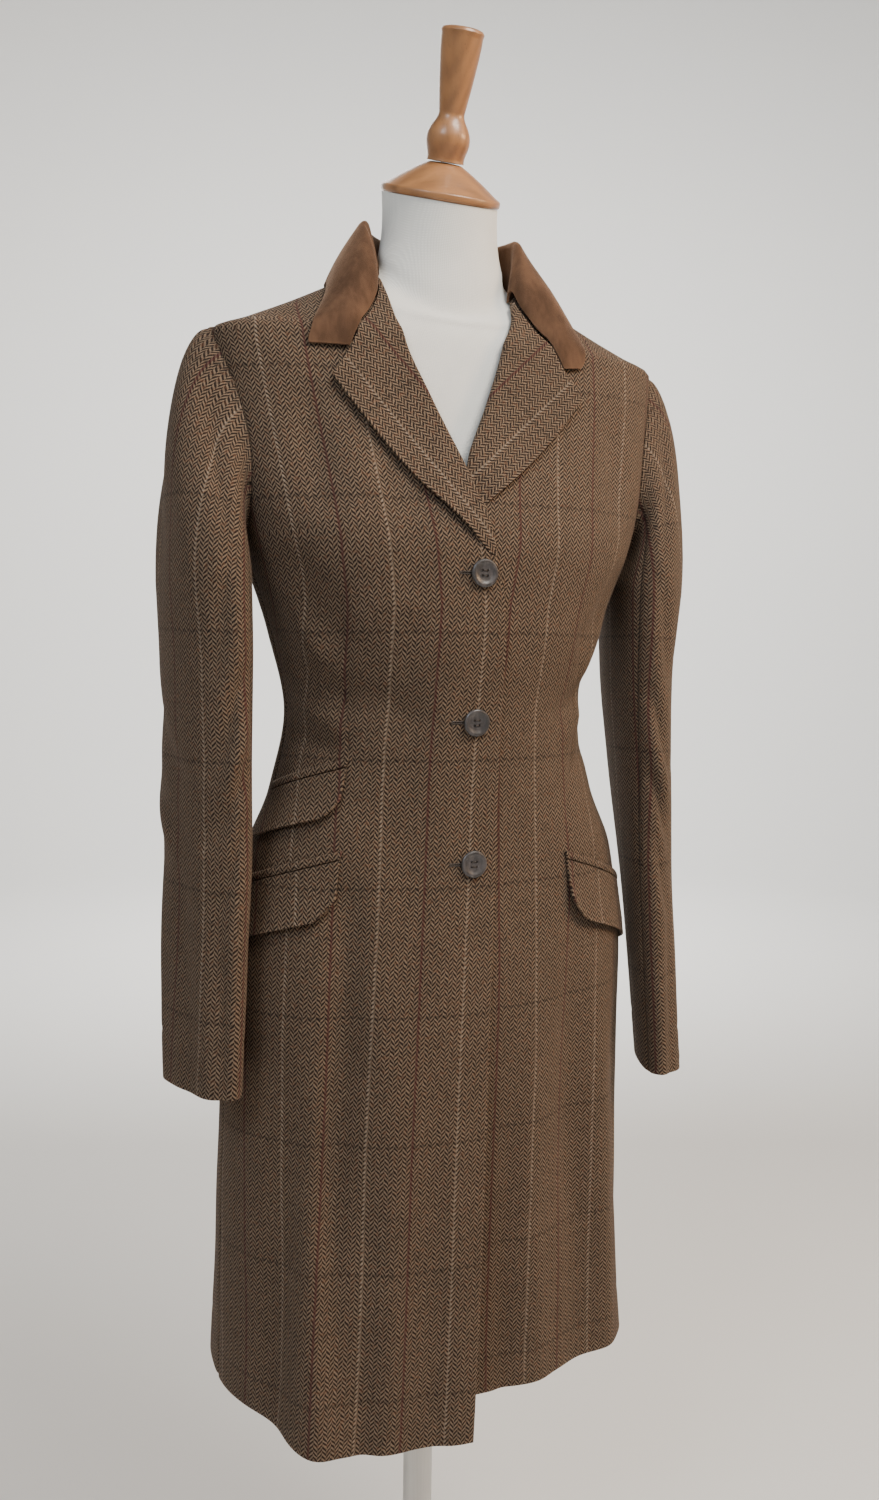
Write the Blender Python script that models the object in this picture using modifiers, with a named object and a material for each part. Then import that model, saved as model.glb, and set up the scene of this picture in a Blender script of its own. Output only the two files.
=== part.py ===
"""Herringbone tweed coat standing on a limbless dress form, in metres with +Z up.

The front faces -Y and the wearer's left is +X. The origin lies on the floor under the
middle of the round base. Every length named "below" is measured down from the nape.
"""
import math

import bmesh
import bpy
from mathutils import Matrix, Vector

# Heights and cloth
NAPE = 1.43
HEM = 0.966
ARMPIT = 0.225
SHOULDER_TIP = 0.060
NECKLINE = -0.004
WALL = 0.0024
GAP = 0.0003
HALF_SEAM = 0.00015

# Rows of each panel: skirt and waist, armhole, shoulder
SKIRT_ROWS = 15
ARMHOLE_ROWS = 9
SHOULDER_ROWS = 4
ROWS = SKIRT_ROWS + ARMHOLE_ROWS + SHOULDER_ROWS
ROW_CROWDING = 1.3
FRONT_COLUMNS = 11
BACK_COLUMNS = 8

# Inside of the coat, a ring per row; square is the power of the ring, 2 for an ellipse
SECTION_NAMES = ("below", "half_width", "front", "back", "square", "front_drop", "lean")
SECTIONS = (
    (-0.020, 0.058, 0.038, 0.050, 2.0, 0.036, 0.004),
    (-0.004, 0.069, 0.041, 0.056, 2.0, 0.034, 0.004),
    (0.013, 0.104, 0.045, 0.066, 2.1, 0.026, 0.006),
    (0.032, 0.143, 0.048, 0.077, 2.2, 0.016, 0.007),
    (0.048, 0.178, 0.051, 0.084, 2.3, 0.006, 0.007),
    (0.060, 0.204, 0.053, 0.090, 2.4, 0.0, 0.007),
    (0.100, 0.200, 0.063, 0.099, 2.5, 0.0, 0.008),
    (0.141, 0.195, 0.074, 0.103, 2.5, 0.0, 0.008),
    (0.190, 0.186, 0.091, 0.104, 2.5, 0.0, 0.007),
    (0.240, 0.171, 0.108, 0.101, 2.4, 0.0, 0.005),
    (0.300, 0.150, 0.107, 0.093, 2.2, 0.0, 0.003),
    (0.372, 0.134, 0.097, 0.087, 2.1, 0.0, 0.002),
    (0.440, 0.149, 0.094, 0.098, 2.1, 0.0, 0.003),
    (0.500, 0.173, 0.096, 0.113, 2.1, 0.0, 0.004),
    (0.600, 0.187, 0.105, 0.128, 2.1, 0.0, 0.002),
    (0.750, 0.190, 0.114, 0.134, 2.0, 0.0, 0.0),
    (1.000, 0.195, 0.125, 0.140, 2.0, 0.0, 0.0),
)
AXIS_FORWARD = 0.010

# Soft flutes of the skirt: degrees from the front towards the wearer's left, spread, swell
FLUTES = (
    (-42.0, 15.0, 0.024),
    (28.0, 13.0, -0.010),
    (64.0, 14.0, 0.009),
    (112.0, 15.0, 0.010),
    (-115.0, 15.0, 0.010),
    (146.0, 13.0, -0.008),
    (-148.0, 13.0, -0.008),
    (180.0, 14.0, 0.010),
)
FLUTE_TOP = 0.52
FLUTE_CURVE = 1.3

# Front edges, closing and lapels, in distances past the middle of the front
BREAK = 0.246
EDGE_NAMES = ("below", "right", "left")
FRONT_EDGE = (
    (-0.020, 0.060, 0.060),
    (-0.004, 0.060, 0.059),
    (0.030, 0.060, 0.053),
    (0.066, 0.053, 0.041),
    (0.110, 0.035, 0.023),
    (0.178, 0.007, -0.006),
    (0.215, -0.005, -0.013),
    (0.246, -0.012, -0.018),
    (0.275, -0.019, -0.018),
    (0.360, -0.023, -0.018),
    (0.450, -0.022, -0.018),
    (0.600, -0.0145, -0.018),
    (0.740, -0.0065, -0.018),
    (1.000, 0.008, -0.018),
)
LAP_FULL = 0.024
LAP_NONE = 0.062
LAP_LIFT = WALL + 0.0012
NOTCH = (0.096, 0.076)
LAPEL_TIP = (0.111, 0.100)
COLLAR_CORNER_RIGHT = (0.128, 0.073)
COLLAR_CORNER_LEFT = (0.113, 0.071)
LAPEL_NOTCH = 0.6
LAPEL_TOP = NECKLINE + 0.012
LAPEL_BELLY = 0.004
ROLL_FOOT_RIGHT = BREAK - 0.006
FREE_FOOT_RIGHT = (-0.005, BREAK - 0.008)
ROLL_FOOT_LEFT = (-0.0030, 0.1745)
FREE_FOOT_LEFT = (0.0050, 0.2000)
LAPEL_CLEAR = 0.0016
LAPEL_COLUMNS = 5
LAPEL_ROWS = 10

# How the fronts part towards the hem: kick out, tuck in and hang lower near the edge
KICK_TOP = 0.56
KICK_WIDE = 0.12
RIGHT_KICK = 0.010
LEFT_TUCK = -0.024
RIGHT_DIP = 0.018
LEFT_DIP = 0.003
DIP_SHARES = (0.25, 0.70)

# Armhole and two-piece sleeve
ARMHOLE_MIDDLE = (ARMPIT + SHOULDER_TIP) / 2
ARMHOLE_RISE = (ARMPIT - SHOULDER_TIP) / 2
ARMHOLE_FRONT = 0.034
ARMHOLE_BACK = 0.054
ARMHOLE_SAG = 0.45
CAP_RINGS = 6
ARM_RINGS = 10
BICEPS = 0.262
FRONT_SEAM = 120.0
HIND_SEAM = 280.0
UNDER_SHORTER = 0.006
SLEEVE_NAMES = (
    "below", "out_right", "out_left", "forward", "half_thick", "half_deep", "turn_right", "turn_left",
)
SLEEVE = (
    (0.262, 0.2080, 0.2075, 0.018, 0.0315, 0.066, 12.0, 12.0),
    (0.330, 0.2060, 0.2080, 0.018, 0.0290, 0.065, 14.0, 14.0),
    (0.420, 0.2060, 0.2120, 0.022, 0.0260, 0.062, 16.0, 17.0),
    (0.560, 0.2100, 0.2210, 0.034, 0.0230, 0.055, 19.0, 25.0),
    (0.720, 0.2160, 0.2300, 0.048, 0.0215, 0.047, 20.0, 29.0),
)
CUFF_RIGHT = 0.680
CUFF_LEFT = 0.713
SEAM_TRIM = 0.42

# Sleeve head: how it leaves the armhole at the armpit and, added to that, at the shoulder tip
HEAD_OUT = 0.012
HEAD_OUT_TOP = 0.085
HEAD_FORWARD = 0.020
HEAD_DOWN = 0.030
HEAD_DOWN_TOP = -0.004
HEAD_ARRIVE = 1.1
HEAD_ARRIVE_LEAST = 0.020
HEAD_CROWDING = 1.25

# Collar, a row per station from the middle of the back (0) to the gorge (1)
COLLAR_NAMES = ("station", "round_neck", "edge_angle", "edge_below", "rise")
COLLAR = (
    (0.00, 0.00, 180.0, 0.014, 0.038),
    (0.25, 0.25, 150.0, 0.013, 0.039),
    (0.50, 0.53, 117.0, 0.012, 0.040),
    (0.72, 0.79, 85.0, 0.011, 0.037),
    (0.88, 0.93, 58.0, 0.028, 0.022),
    (1.00, 1.00, 44.0, 0.060, 0.004),
)
COLLAR_STATIONS = 14
COLLAR_STEPS = 7
STAND_STEPS = 2
FALL_STEPS = (0.0, 0.30, 0.62, 1.0)
FALL_CURVE = 1.7
ROLL_RISE = 0.0035
STAND_INSIDE = GAP + 0.7 * WALL
BEND_STATION = 0.74
NOTCH_SHARE = 0.62
GORGE_GAP = 0.0005
COLLAR_CLEAR = 0.0019

# Pockets: name, side, front end across, top below, end in degrees, drop to the end, flap height
POCKETS = (
    ("ticket_right", -1, 0.098, 0.406, 86.0, 0.026, 0.040),
    ("right", -1, 0.105, 0.482, 84.0, 0.030, 0.047),
    ("left", 1, 0.093, 0.491, 84.0, 0.046, 0.051),
)
WELT_HIGH = 0.008
FLAP_THICK = 0.0022
FLAP_CLEAR = 0.0007
POCKET_COLUMNS = 7
FLAP_ROWS = 4
CORNER_WIDE = 0.16
CORNER_CUT = 0.34

# Buttons
BUTTONS_BELOW = (0.254, 0.3755, 0.495)
BUTTON_RADIUS = 0.0115
BUTTON_CLEAR = 0.0006
HOLE_RADIUS = 0.0010
HOLE_OFFSET = 0.0021
HOLE_SIDES = 8
HOLE_CUTTER = 0.008

# Dress form: space left under the coat, and the plain stand
EASE_NAMES = ("below", "ease")
EASE = (
    (-0.020, 0.0006),
    (0.036, 0.0006),
    (0.050, 0.0020),
    (0.090, 0.0060),
    (0.160, 0.0100),
    (0.372, 0.0100),
    (0.500, 0.0160),
    (0.620, 0.0220),
    (0.720, 0.0280),
)
ARM_PLATE = 0.158
FORM_BOTTOM = 0.700
FORM_RINGS = 20
FORM_SHOULDER = 0.010
FORM_CROWDING = 1.35
NECK_INSET = 0.90
NECK_WAIST = 0.07
FORM_STEPS = 28
NECK_RINGS = 5
NECK_TILT = math.radians(22.0)
NECK_TOP = Vector((0.004, -0.004, NAPE + 0.076))
NECK_RADIUS = 0.0515
CAP_RADIUS = 0.053
POLE_RADIUS = 0.014
BASE_RADIUS = 0.175
BASE_HIGH = 0.024
POLE_TOP = NAPE - FORM_BOTTOM - GAP
POLE_FOOT = BASE_HIGH + GAP
TURNED_STEPS = 28

# Turned profiles, radius and height from the top down
CAP_PROFILE = (
    (0.0, 0.0300),
    (0.0170, 0.0290),
    (0.0340, 0.0185),
    (0.0490, 0.0085),
    (CAP_RADIUS, 0.0060),
    (CAP_RADIUS, 0.0018),
    (CAP_RADIUS - 0.0015, GAP),
    (0.0, GAP),
)
FINIAL_PROFILE = (
    (0.0, 0.1305),
    (0.0165, 0.1300),
    (0.0185, 0.1275),
    (0.0180, 0.1230),
    (0.0145, 0.0910),
    (0.0115, 0.0700),
    (0.0110, 0.0660),
    (0.0150, 0.0590),
    (0.0185, 0.0510),
    (0.0190, 0.0450),
    (0.0170, 0.0375),
    (0.0160, 0.0340),
    (0.0165, 0.0304),
    (0.0, 0.0303),
)
POLE_PROFILE = (
    (0.0, POLE_TOP),
    (POLE_RADIUS, POLE_TOP),
    (POLE_RADIUS, POLE_FOOT),
    (0.0, POLE_FOOT),
)
BASE_PROFILE = (
    (0.0, BASE_HIGH),
    (BASE_RADIUS - 0.012, BASE_HIGH),
    (BASE_RADIUS - 0.004, BASE_HIGH - 0.003),
    (BASE_RADIUS, BASE_HIGH - 0.009),
    (BASE_RADIUS, 0.002),
    (BASE_RADIUS - 0.002, 0.0),
    (0.0, 0.0),
)

# Colours and finish
CLOTH_ROUGHNESS = 0.9
HORN_ROUGHNESS = 0.4
WOOD_ROUGHNESS = 0.45
STEEL_ROUGHNESS = 0.35
TWEED = (0.17, 0.14, 0.105)
VELVET = (0.085, 0.048, 0.03)
HORN = (0.055, 0.047, 0.042)
JERSEY = (0.72, 0.66, 0.55)
WOOD = (0.55, 0.36, 0.2)
STEEL = (0.45, 0.44, 0.42)


def eased(table, names, name, key):
    """Read one named column of a table at any key, smoothly and without overshoot."""
    column = names.index(name)
    if key <= table[0][0]:
        return table[0][column]
    if key >= table[-1][0]:
        return table[-1][column]
    at = 0
    while table[at + 1][0] < key:
        at += 1

    def slope(row):
        if row == 0 or row == len(table) - 1:
            near = 0 if row == 0 else row - 1
            return (table[near + 1][column] - table[near][column]) / (table[near + 1][0] - table[near][0])
        before = (table[row][column] - table[row - 1][column]) / (table[row][0] - table[row - 1][0])
        after = (table[row + 1][column] - table[row][column]) / (table[row + 1][0] - table[row][0])
        if before * after <= 0.0:
            return 0.0
        return 2.0 * before * after / (before + after)

    span = table[at + 1][0] - table[at][0]
    t = (key - table[at][0]) / span
    low, high = table[at][column], table[at + 1][column]
    return (
        low * (1 + 2 * t) * (1 - t) ** 2
        + slope(at) * span * t * (1 - t) ** 2
        + high * t * t * (3 - 2 * t)
        + slope(at + 1) * span * t * t * (t - 1)
    )


def step_between(low, high, value):
    """Rise from 0 to 1 between two values, softly at both ends."""
    t = min(max((value - low) / (high - low), 0.0), 1.0)
    return t * t * (3 - 2 * t)


def mix(a, b, t):
    return (a[0] + (b[0] - a[0]) * t, a[1] + (b[1] - a[1]) * t)


def section(name, below):
    return eased(SECTIONS, SECTION_NAMES, name, below)


def power(value, exponent):
    return math.copysign(abs(value) ** exponent, value)


def flute(angle, below):
    """Swell of the skirt at an angle, from nothing at the hip to its full depth at the hem."""
    if below <= FLUTE_TOP:
        return 0.0
    swell = 0.0
    for middle, spread, depth in FLUTES:
        away = (math.degrees(angle) - middle + 180.0) % 360.0 - 180.0
        swell += depth * math.exp(-((away / spread) ** 2))
    return swell * ((below - FLUTE_TOP) / (HEM - FLUTE_TOP)) ** FLUTE_CURVE


def ring_point(angle, below):
    """Inside of the coat at an angle from the middle front towards the wearer's left."""
    across, along = math.sin(angle), math.cos(angle)
    shape = 2.0 / section("square", below)
    swell = flute(angle, below)
    deep = section("front", below) if along > 0 else section("back", below)
    x = section("lean", below) + (section("half_width", below) + swell) * power(across, shape)
    y = -AXIS_FORWARD - (deep + swell) * power(along, shape)
    z = NAPE - below - section("front_drop", below) * max(along, 0.0) ** 1.5
    return Vector((x, y, z))


def ring_normal(angle, below):
    turn = ring_point(angle + 0.02, below) - ring_point(angle - 0.02, below)
    rise = ring_point(angle, below - 0.002) - ring_point(angle, below + 0.002)
    return turn.cross(rise).normalized()


def coat_point(side, angle, below, depth):
    """A point over the coat's inside; side is 1 for the wearer's left and -1 for the right."""
    at = side * angle
    return ring_point(at, below) + ring_normal(at, below) * depth


def angle_across(side, x, below):
    """Angle at a distance across from the middle of the front, towards that side."""
    x = x - side * section("lean", below)
    share = min(abs(x) / section("half_width", below), 1.0)
    return math.copysign(math.asin(share ** (section("square", below) / 2)), x)


def angle_along(y, below):
    deep = section("front", below) if y < 0 else section("back", below)
    angle = math.acos(min(abs(y) / deep, 1.0) ** (section("square", below) / 2))
    return angle if y < 0 else math.pi - angle


def front_lift(side, x, below):
    """How far a front lies off the ring: the right one laps over the left one and kicks out at the hem."""
    near_edge = 1.0 - step_between(0.0, KICK_WIDE, x)
    low = step_between(KICK_TOP, HEM, below)
    if side > 0:
        return LEFT_TUCK * low * near_edge
    lap = LAP_LIFT * (1.0 - step_between(LAP_FULL, LAP_NONE, x))
    return lap + RIGHT_KICK * low * near_edge


def new_mesh(name):
    mesh = bpy.data.meshes.new(name)
    piece = bpy.data.objects.new(name, mesh)
    coat_collection.objects.link(piece)
    return piece


def paint(piece, colour, roughness):
    material = bpy.data.materials.new(piece.name + "_material")
    material.use_nodes = True
    shader = material.node_tree.nodes["Principled BSDF"]
    shader.inputs["Base Color"].default_value = (*colour, 1.0)
    shader.inputs["Roughness"].default_value = roughness
    piece.data.materials.append(material)


def face_out(bm):
    bmesh.ops.recalc_face_normals(bm, faces=bm.faces[:])
    if bm.calc_volume(signed=True) < 0.0:
        bmesh.ops.reverse_faces(bm, faces=bm.faces[:])


def slab(name, columns, rows, place, colour):
    """Extrude a flat grid to a slab and carry each corner to its place on the garment.

    place takes the column and row numbers and 0 for the inner face or 1 for the outer one.
    """
    piece = new_mesh(name)
    bm = bmesh.new()
    bmesh.ops.create_grid(bm, x_segments=columns, y_segments=rows, size=0.5)
    grown = bmesh.ops.extrude_face_region(bm, geom=bm.faces[:])
    upper = {item for item in grown["geom"] if isinstance(item, bmesh.types.BMVert)}
    for vert in bm.verts:
        column = round((vert.co.x + 0.5) * columns)
        row = round((vert.co.y + 0.5) * rows)
        vert.co = place(column, row, 1 if vert in upper else 0)
    face_out(bm)
    bm.to_mesh(piece.data)
    bm.free()
    paint(piece, colour, CLOTH_ROUGHNESS)


def armhole_y(row, front):
    """Fore and aft place of the armhole's edge at one of its rows, from the armpit up to the tip."""
    phi = math.pi * (1.0 - row / ARMHOLE_ROWS)
    reach = math.sin(phi) * (1.0 - ARMHOLE_SAG * math.cos(phi))
    if front:
        return -ARMHOLE_FRONT * reach - HALF_SEAM
    return ARMHOLE_BACK * reach + HALF_SEAM


def row_below(row, hem):
    if row <= SKIRT_ROWS:
        return hem + (ARMPIT - hem) * (1.0 - (1.0 - row / SKIRT_ROWS) ** ROW_CROWDING)
    if row <= SKIRT_ROWS + ARMHOLE_ROWS:
        phi = math.pi * (1.0 - (row - SKIRT_ROWS) / ARMHOLE_ROWS)
        return ARMHOLE_MIDDLE - ARMHOLE_RISE * math.cos(phi)
    share = (row - SKIRT_ROWS - ARMHOLE_ROWS) / SHOULDER_ROWS
    return SHOULDER_TIP + (NECKLINE - SHOULDER_TIP) * share


def seam_angle(row, below, front):
    """Angle at which a panel ends on the side seam, the armhole or the shoulder seam."""
    at = row - SKIRT_ROWS
    if 0 < at < ARMHOLE_ROWS:
        return angle_along(armhole_y(at, front), below)
    return angle_along(-HALF_SEAM if front else HALF_SEAM, below)


def edge_across(side, below):
    return eased(FRONT_EDGE, EDGE_NAMES, "right" if side < 0 else "left", below)


def front_panel(name, side):
    def place(column, row, face):
        share = column / FRONT_COLUMNS
        dip = RIGHT_DIP if side < 0 else LEFT_DIP
        hem = HEM + dip * (1.0 - step_between(*DIP_SHARES, share))
        below = row_below(row, hem)
        start = angle_across(side, edge_across(side, below), below)
        end = seam_angle(row, below, True)
        angle = start + (end - start) * share
        x = side * ring_point(side * angle, below).x
        return coat_point(side, angle, below, front_lift(side, x, below) + WALL * face)

    slab(name, FRONT_COLUMNS, ROWS, place, TWEED)


def back_panel(name, side):
    def place(column, row, face):
        below = row_below(row, HEM)
        start = seam_angle(row, below, False)
        end = math.pi - angle_across(side, HALF_SEAM, below)
        angle = start + (end - start) * column / BACK_COLUMNS
        return coat_point(side, angle, below, WALL * face)

    slab(name, BACK_COLUMNS, ROWS, place, TWEED)


def lapel(name, side):
    """Turned-back lapel: a four-sided patch from the roll line to its free edge."""
    if side < 0:
        roll_low = (edge_across(side, ROLL_FOOT_RIGHT), ROLL_FOOT_RIGHT)
        free_low = FREE_FOOT_RIGHT
    else:
        roll_low = ROLL_FOOT_LEFT
        free_low = FREE_FOOT_LEFT
    top = (edge_across(side, LAPEL_TOP), LAPEL_TOP)

    def roll(t):
        below = roll_low[1] + (top[1] - roll_low[1]) * t
        return (edge_across(side, below), below)

    def free(t):
        x, below = mix(free_low, LAPEL_TIP, t)
        belly = LAPEL_BELLY * math.sin(math.pi * t)
        return (x + belly, below + belly)

    def gorge(t):
        if t < LAPEL_NOTCH:
            return mix(top, NOTCH, t / LAPEL_NOTCH)
        return mix(NOTCH, LAPEL_TIP, (t - LAPEL_NOTCH) / (1.0 - LAPEL_NOTCH))

    def place(column, row, face):
        c, s = column / LAPEL_COLUMNS, row / LAPEL_ROWS
        sides = mix(roll(s), free(s), c)
        ends = mix(mix(roll_low, free_low, c), gorge(c), s)
        corners = mix(mix(roll_low, free_low, c), mix(top, LAPEL_TIP, c), s)
        x = sides[0] + ends[0] - corners[0]
        below = sides[1] + ends[1] - corners[1]
        depth = front_lift(side, x, below) + WALL + LAPEL_CLEAR + WALL * face
        return coat_point(side, angle_across(side, x, below), below, depth)

    slab(name, LAPEL_COLUMNS, LAPEL_ROWS, place, TWEED)


def collar_middle(at, step):
    """Middle of the collar's cloth; at runs from -1 to 1 across the wearer's back, step up and over."""
    side = -1 if at < 0 else 1
    station = abs(at)

    def read(name):
        return eased(COLLAR, COLLAR_NAMES, name, station)

    front_angle = angle_across(side, edge_across(side, NECKLINE), NECKLINE)
    neck_angle = math.pi + (front_angle - math.pi) * read("round_neck")
    rise = Vector((0.0, 0.0, read("rise")))
    seam = ring_point(side * neck_angle, NECKLINE)
    out = ring_normal(side * neck_angle, NECKLINE)
    out.z = 0.0
    base = seam - out.normalized() * STAND_INSIDE
    depth = WALL + COLLAR_CLEAR + WALL / 2

    def front_end(share):
        """Line of the gorge seam down to the notch and out to the collar's corner."""
        start = (edge_across(side, NECKLINE), NECKLINE)
        notch = (NOTCH[0] + GORGE_GAP, NOTCH[1] - GORGE_GAP)
        if share < NOTCH_SHARE:
            return mix(start, notch, share / NOTCH_SHARE)
        corner = COLLAR_CORNER_RIGHT if side < 0 else COLLAR_CORNER_LEFT
        return mix(notch, corner, (share - NOTCH_SHARE) / (1.0 - NOTCH_SHARE))

    def fall(share):
        angle = neck_angle + (math.radians(read("edge_angle")) - neck_angle) * share
        below = NECKLINE + (read("edge_below") - NECKLINE) * share
        bent = step_between(BEND_STATION, 1.0, station)
        if share > 0.0 and bent > 0.0:
            x = side * ring_point(side * angle, below).x
            x, below = mix((x, below), front_end(share), bent)
            angle = angle_across(side, x, below)
        return coat_point(side, angle, below, depth) + rise * (1.0 - share ** FALL_CURVE)

    if step <= STAND_STEPS:
        return base + rise * (step / STAND_STEPS)
    if step == STAND_STEPS + 1:
        return (base + rise + fall(0.0)) / 2 + Vector((0.0, 0.0, ROLL_RISE))
    return fall(FALL_STEPS[step - STAND_STEPS - 2])


def collar(name):
    def middle(column, row):
        return collar_middle(column / COLLAR_STATIONS - 1.0, row)

    thick_sheet(name, 2 * COLLAR_STATIONS, COLLAR_STEPS, middle, VELVET)


def thick_sheet(name, columns, rows, middle, colour):
    """Wall whose middle surface is a function of the column and row numbers."""
    def place(column, row, face):
        turn = middle(column + 0.25, row) - middle(column - 0.25, row)
        rise = middle(column, min(row + 1, rows)) - middle(column, max(row - 1, 0))
        out = turn.cross(rise).normalized()
        return middle(column, row) + out * WALL * (face - 0.5)

    slab(name, columns, rows, place, colour)


def sleeve_middle(side, cuff, phi, ring):
    """Middle of the sleeve's cloth at an angle round the arm, 0 outwards, 90 forwards, 180 inwards."""
    phi = phi % 360.0
    turn = math.radians(phi)

    def arm_ring(below, at):
        def read(name):
            return eased(SLEEVE, SLEEVE_NAMES, name, below)

        twist = math.radians(read("turn_right" if side < 0 else "turn_left"))
        middle = read("out_right" if side < 0 else "out_left")
        out = read("half_thick") * math.cos(at)
        forward = read("half_deep") * math.sin(at)
        x = middle + out * math.cos(twist) - forward * math.sin(twist)
        y = -read("forward") - out * math.sin(twist) - forward * math.cos(twist)
        return Vector((side * x, y, NAPE - below))

    if ring >= CAP_RINGS:
        share = (ring - CAP_RINGS) / ARM_RINGS
        return arm_ring(BICEPS + (cuff - BICEPS) * share, turn)
    below = ARMHOLE_MIDDLE - ARMHOLE_RISE * math.cos(turn)
    wide = ARMHOLE_FRONT if phi <= 180.0 else ARMHOLE_BACK
    reach = wide * math.sin(turn) * (1.0 - ARMHOLE_SAG * math.cos(turn))
    edge = coat_point(side, angle_along(-reach, below), below, WALL + GAP + WALL / 2)
    end = arm_ring(BICEPS, turn)
    top = (1.0 + math.cos(turn)) / 2
    out = HEAD_OUT + HEAD_OUT_TOP * top
    leave = Vector((side * out, -HEAD_FORWARD * math.sin(turn), -HEAD_DOWN - HEAD_DOWN_TOP * top))
    arrive = Vector((0.0, 0.0, -max(edge.z - end.z, HEAD_ARRIVE_LEAST) * HEAD_ARRIVE))
    t = (ring / CAP_RINGS) ** HEAD_CROWDING
    return (
        edge * ((1 + 2 * t) * (1 - t) ** 2)
        + leave * (t * (1 - t) ** 2)
        + end * (t * t * (3 - 2 * t))
        + arrive * (t * t * (t - 1))
    )


def sleeve_piece(name, side, cuff, first, last, shorter=0.0):
    steps = round((last - first) / (180.0 / ARMHOLE_ROWS))
    rings = CAP_RINGS + ARM_RINGS

    def middle(column, ring):
        share = min(max(column, 0.0), steps) / steps
        phi = first + SEAM_TRIM + (last - first - 2 * SEAM_TRIM) * share + (column - share * steps) * 4.0
        if ring == rings:
            ring = rings - shorter * ARM_RINGS / (cuff - BICEPS)
        return sleeve_middle(side, cuff, phi, ring)

    thick_sheet(name, steps, rings, middle, TWEED)


def pocket(name, side, front, top, end_degrees, drop, high):
    """Jetted welt with a slanting flap under it, whose lower front corner is rounded."""
    start = angle_across(side, front, top)
    end = math.radians(end_degrees)

    def strip(low_of, high_of, rows):
        def place(column, row, face):
            share = column / POCKET_COLUMNS
            angle = start + (end - start) * share
            line = top + drop * share
            below = line + low_of(share) + (high_of(share) - low_of(share)) * row / rows
            return coat_point(side, angle, below, WALL + FLAP_CLEAR + FLAP_THICK * face)

        return place

    def flap_low(share):
        corner = max(1.0 - share / CORNER_WIDE, 0.0)
        return WELT_HIGH + GAP + high * (1.0 - CORNER_CUT * corner ** 2)

    welt = strip(lambda share: 0.0, lambda share: WELT_HIGH, 1)
    flap = strip(lambda share: WELT_HIGH + GAP, flap_low, FLAP_ROWS)
    slab("welt_" + name, POCKET_COLUMNS, 1, welt, TWEED)
    slab("flap_" + name, POCKET_COLUMNS, FLAP_ROWS, flap, TWEED)


def turned(name, profile, colour, roughness, frame=Matrix.Identity(4)):
    """Turn a profile of radius and height pairs, listed from the top down, about its own axis."""
    piece = new_mesh(name)
    verts = [(radius, 0.0, height) for radius, height in profile]
    piece.data.from_pydata(verts, [(i, i + 1) for i in range(len(verts) - 1)], [])
    screw = piece.modifiers.new("Turn", "SCREW")
    screw.steps = TURNED_STEPS
    screw.render_steps = TURNED_STEPS
    screw.use_merge_vertices = True
    screw.merge_threshold = 0.0001
    piece.matrix_world = frame
    paint(piece, colour, roughness)
    return piece


def button(name, below):
    """Four-hole button lying on the right front."""
    middle = angle_across(-1, 0.0, below)
    normal = ring_normal(-middle, below)
    seat = coat_point(-1, middle, below, LAP_LIFT + WALL + BUTTON_CLEAR)
    frame = Matrix.Translation(seat) @ normal.to_track_quat("Z", "Y").to_matrix().to_4x4()
    r = BUTTON_RADIUS
    profile = (
        (0.0, 0.0022), (0.58 * r, 0.0022), (0.72 * r, 0.0032), (0.90 * r, 0.0033),
        (r, 0.0023), (r, 0.0011), (0.86 * r, 0.0), (0.0, 0.0),
    )
    piece = turned(name, profile, HORN, HORN_ROUGHNESS, frame)
    bm = bmesh.new()
    for x in (-HOLE_OFFSET, HOLE_OFFSET):
        for y in (-HOLE_OFFSET, HOLE_OFFSET):
            bmesh.ops.create_cone(
                bm, cap_ends=True, segments=HOLE_SIDES, radius1=HOLE_RADIUS, radius2=HOLE_RADIUS,
                depth=HOLE_CUTTER, matrix=frame @ Matrix.Translation((x, y, 0.0)),
            )
    cutter = bpy.data.objects.new(name + "_holes", bpy.data.meshes.new(name + "_holes"))
    cutter_collection.objects.link(cutter)
    cutter.hide_render = True
    cutter.display_type = "WIRE"
    bm.to_mesh(cutter.data)
    bm.free()
    cut = piece.modifiers.new("Holes", "BOOLEAN")
    cut.operation = "DIFFERENCE"
    cut.solver = "EXACT"
    cut.object = cutter


def neck_frame():
    return Matrix.Translation(NECK_TOP) @ Matrix.Rotation(NECK_TILT, 4, "X")


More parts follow.
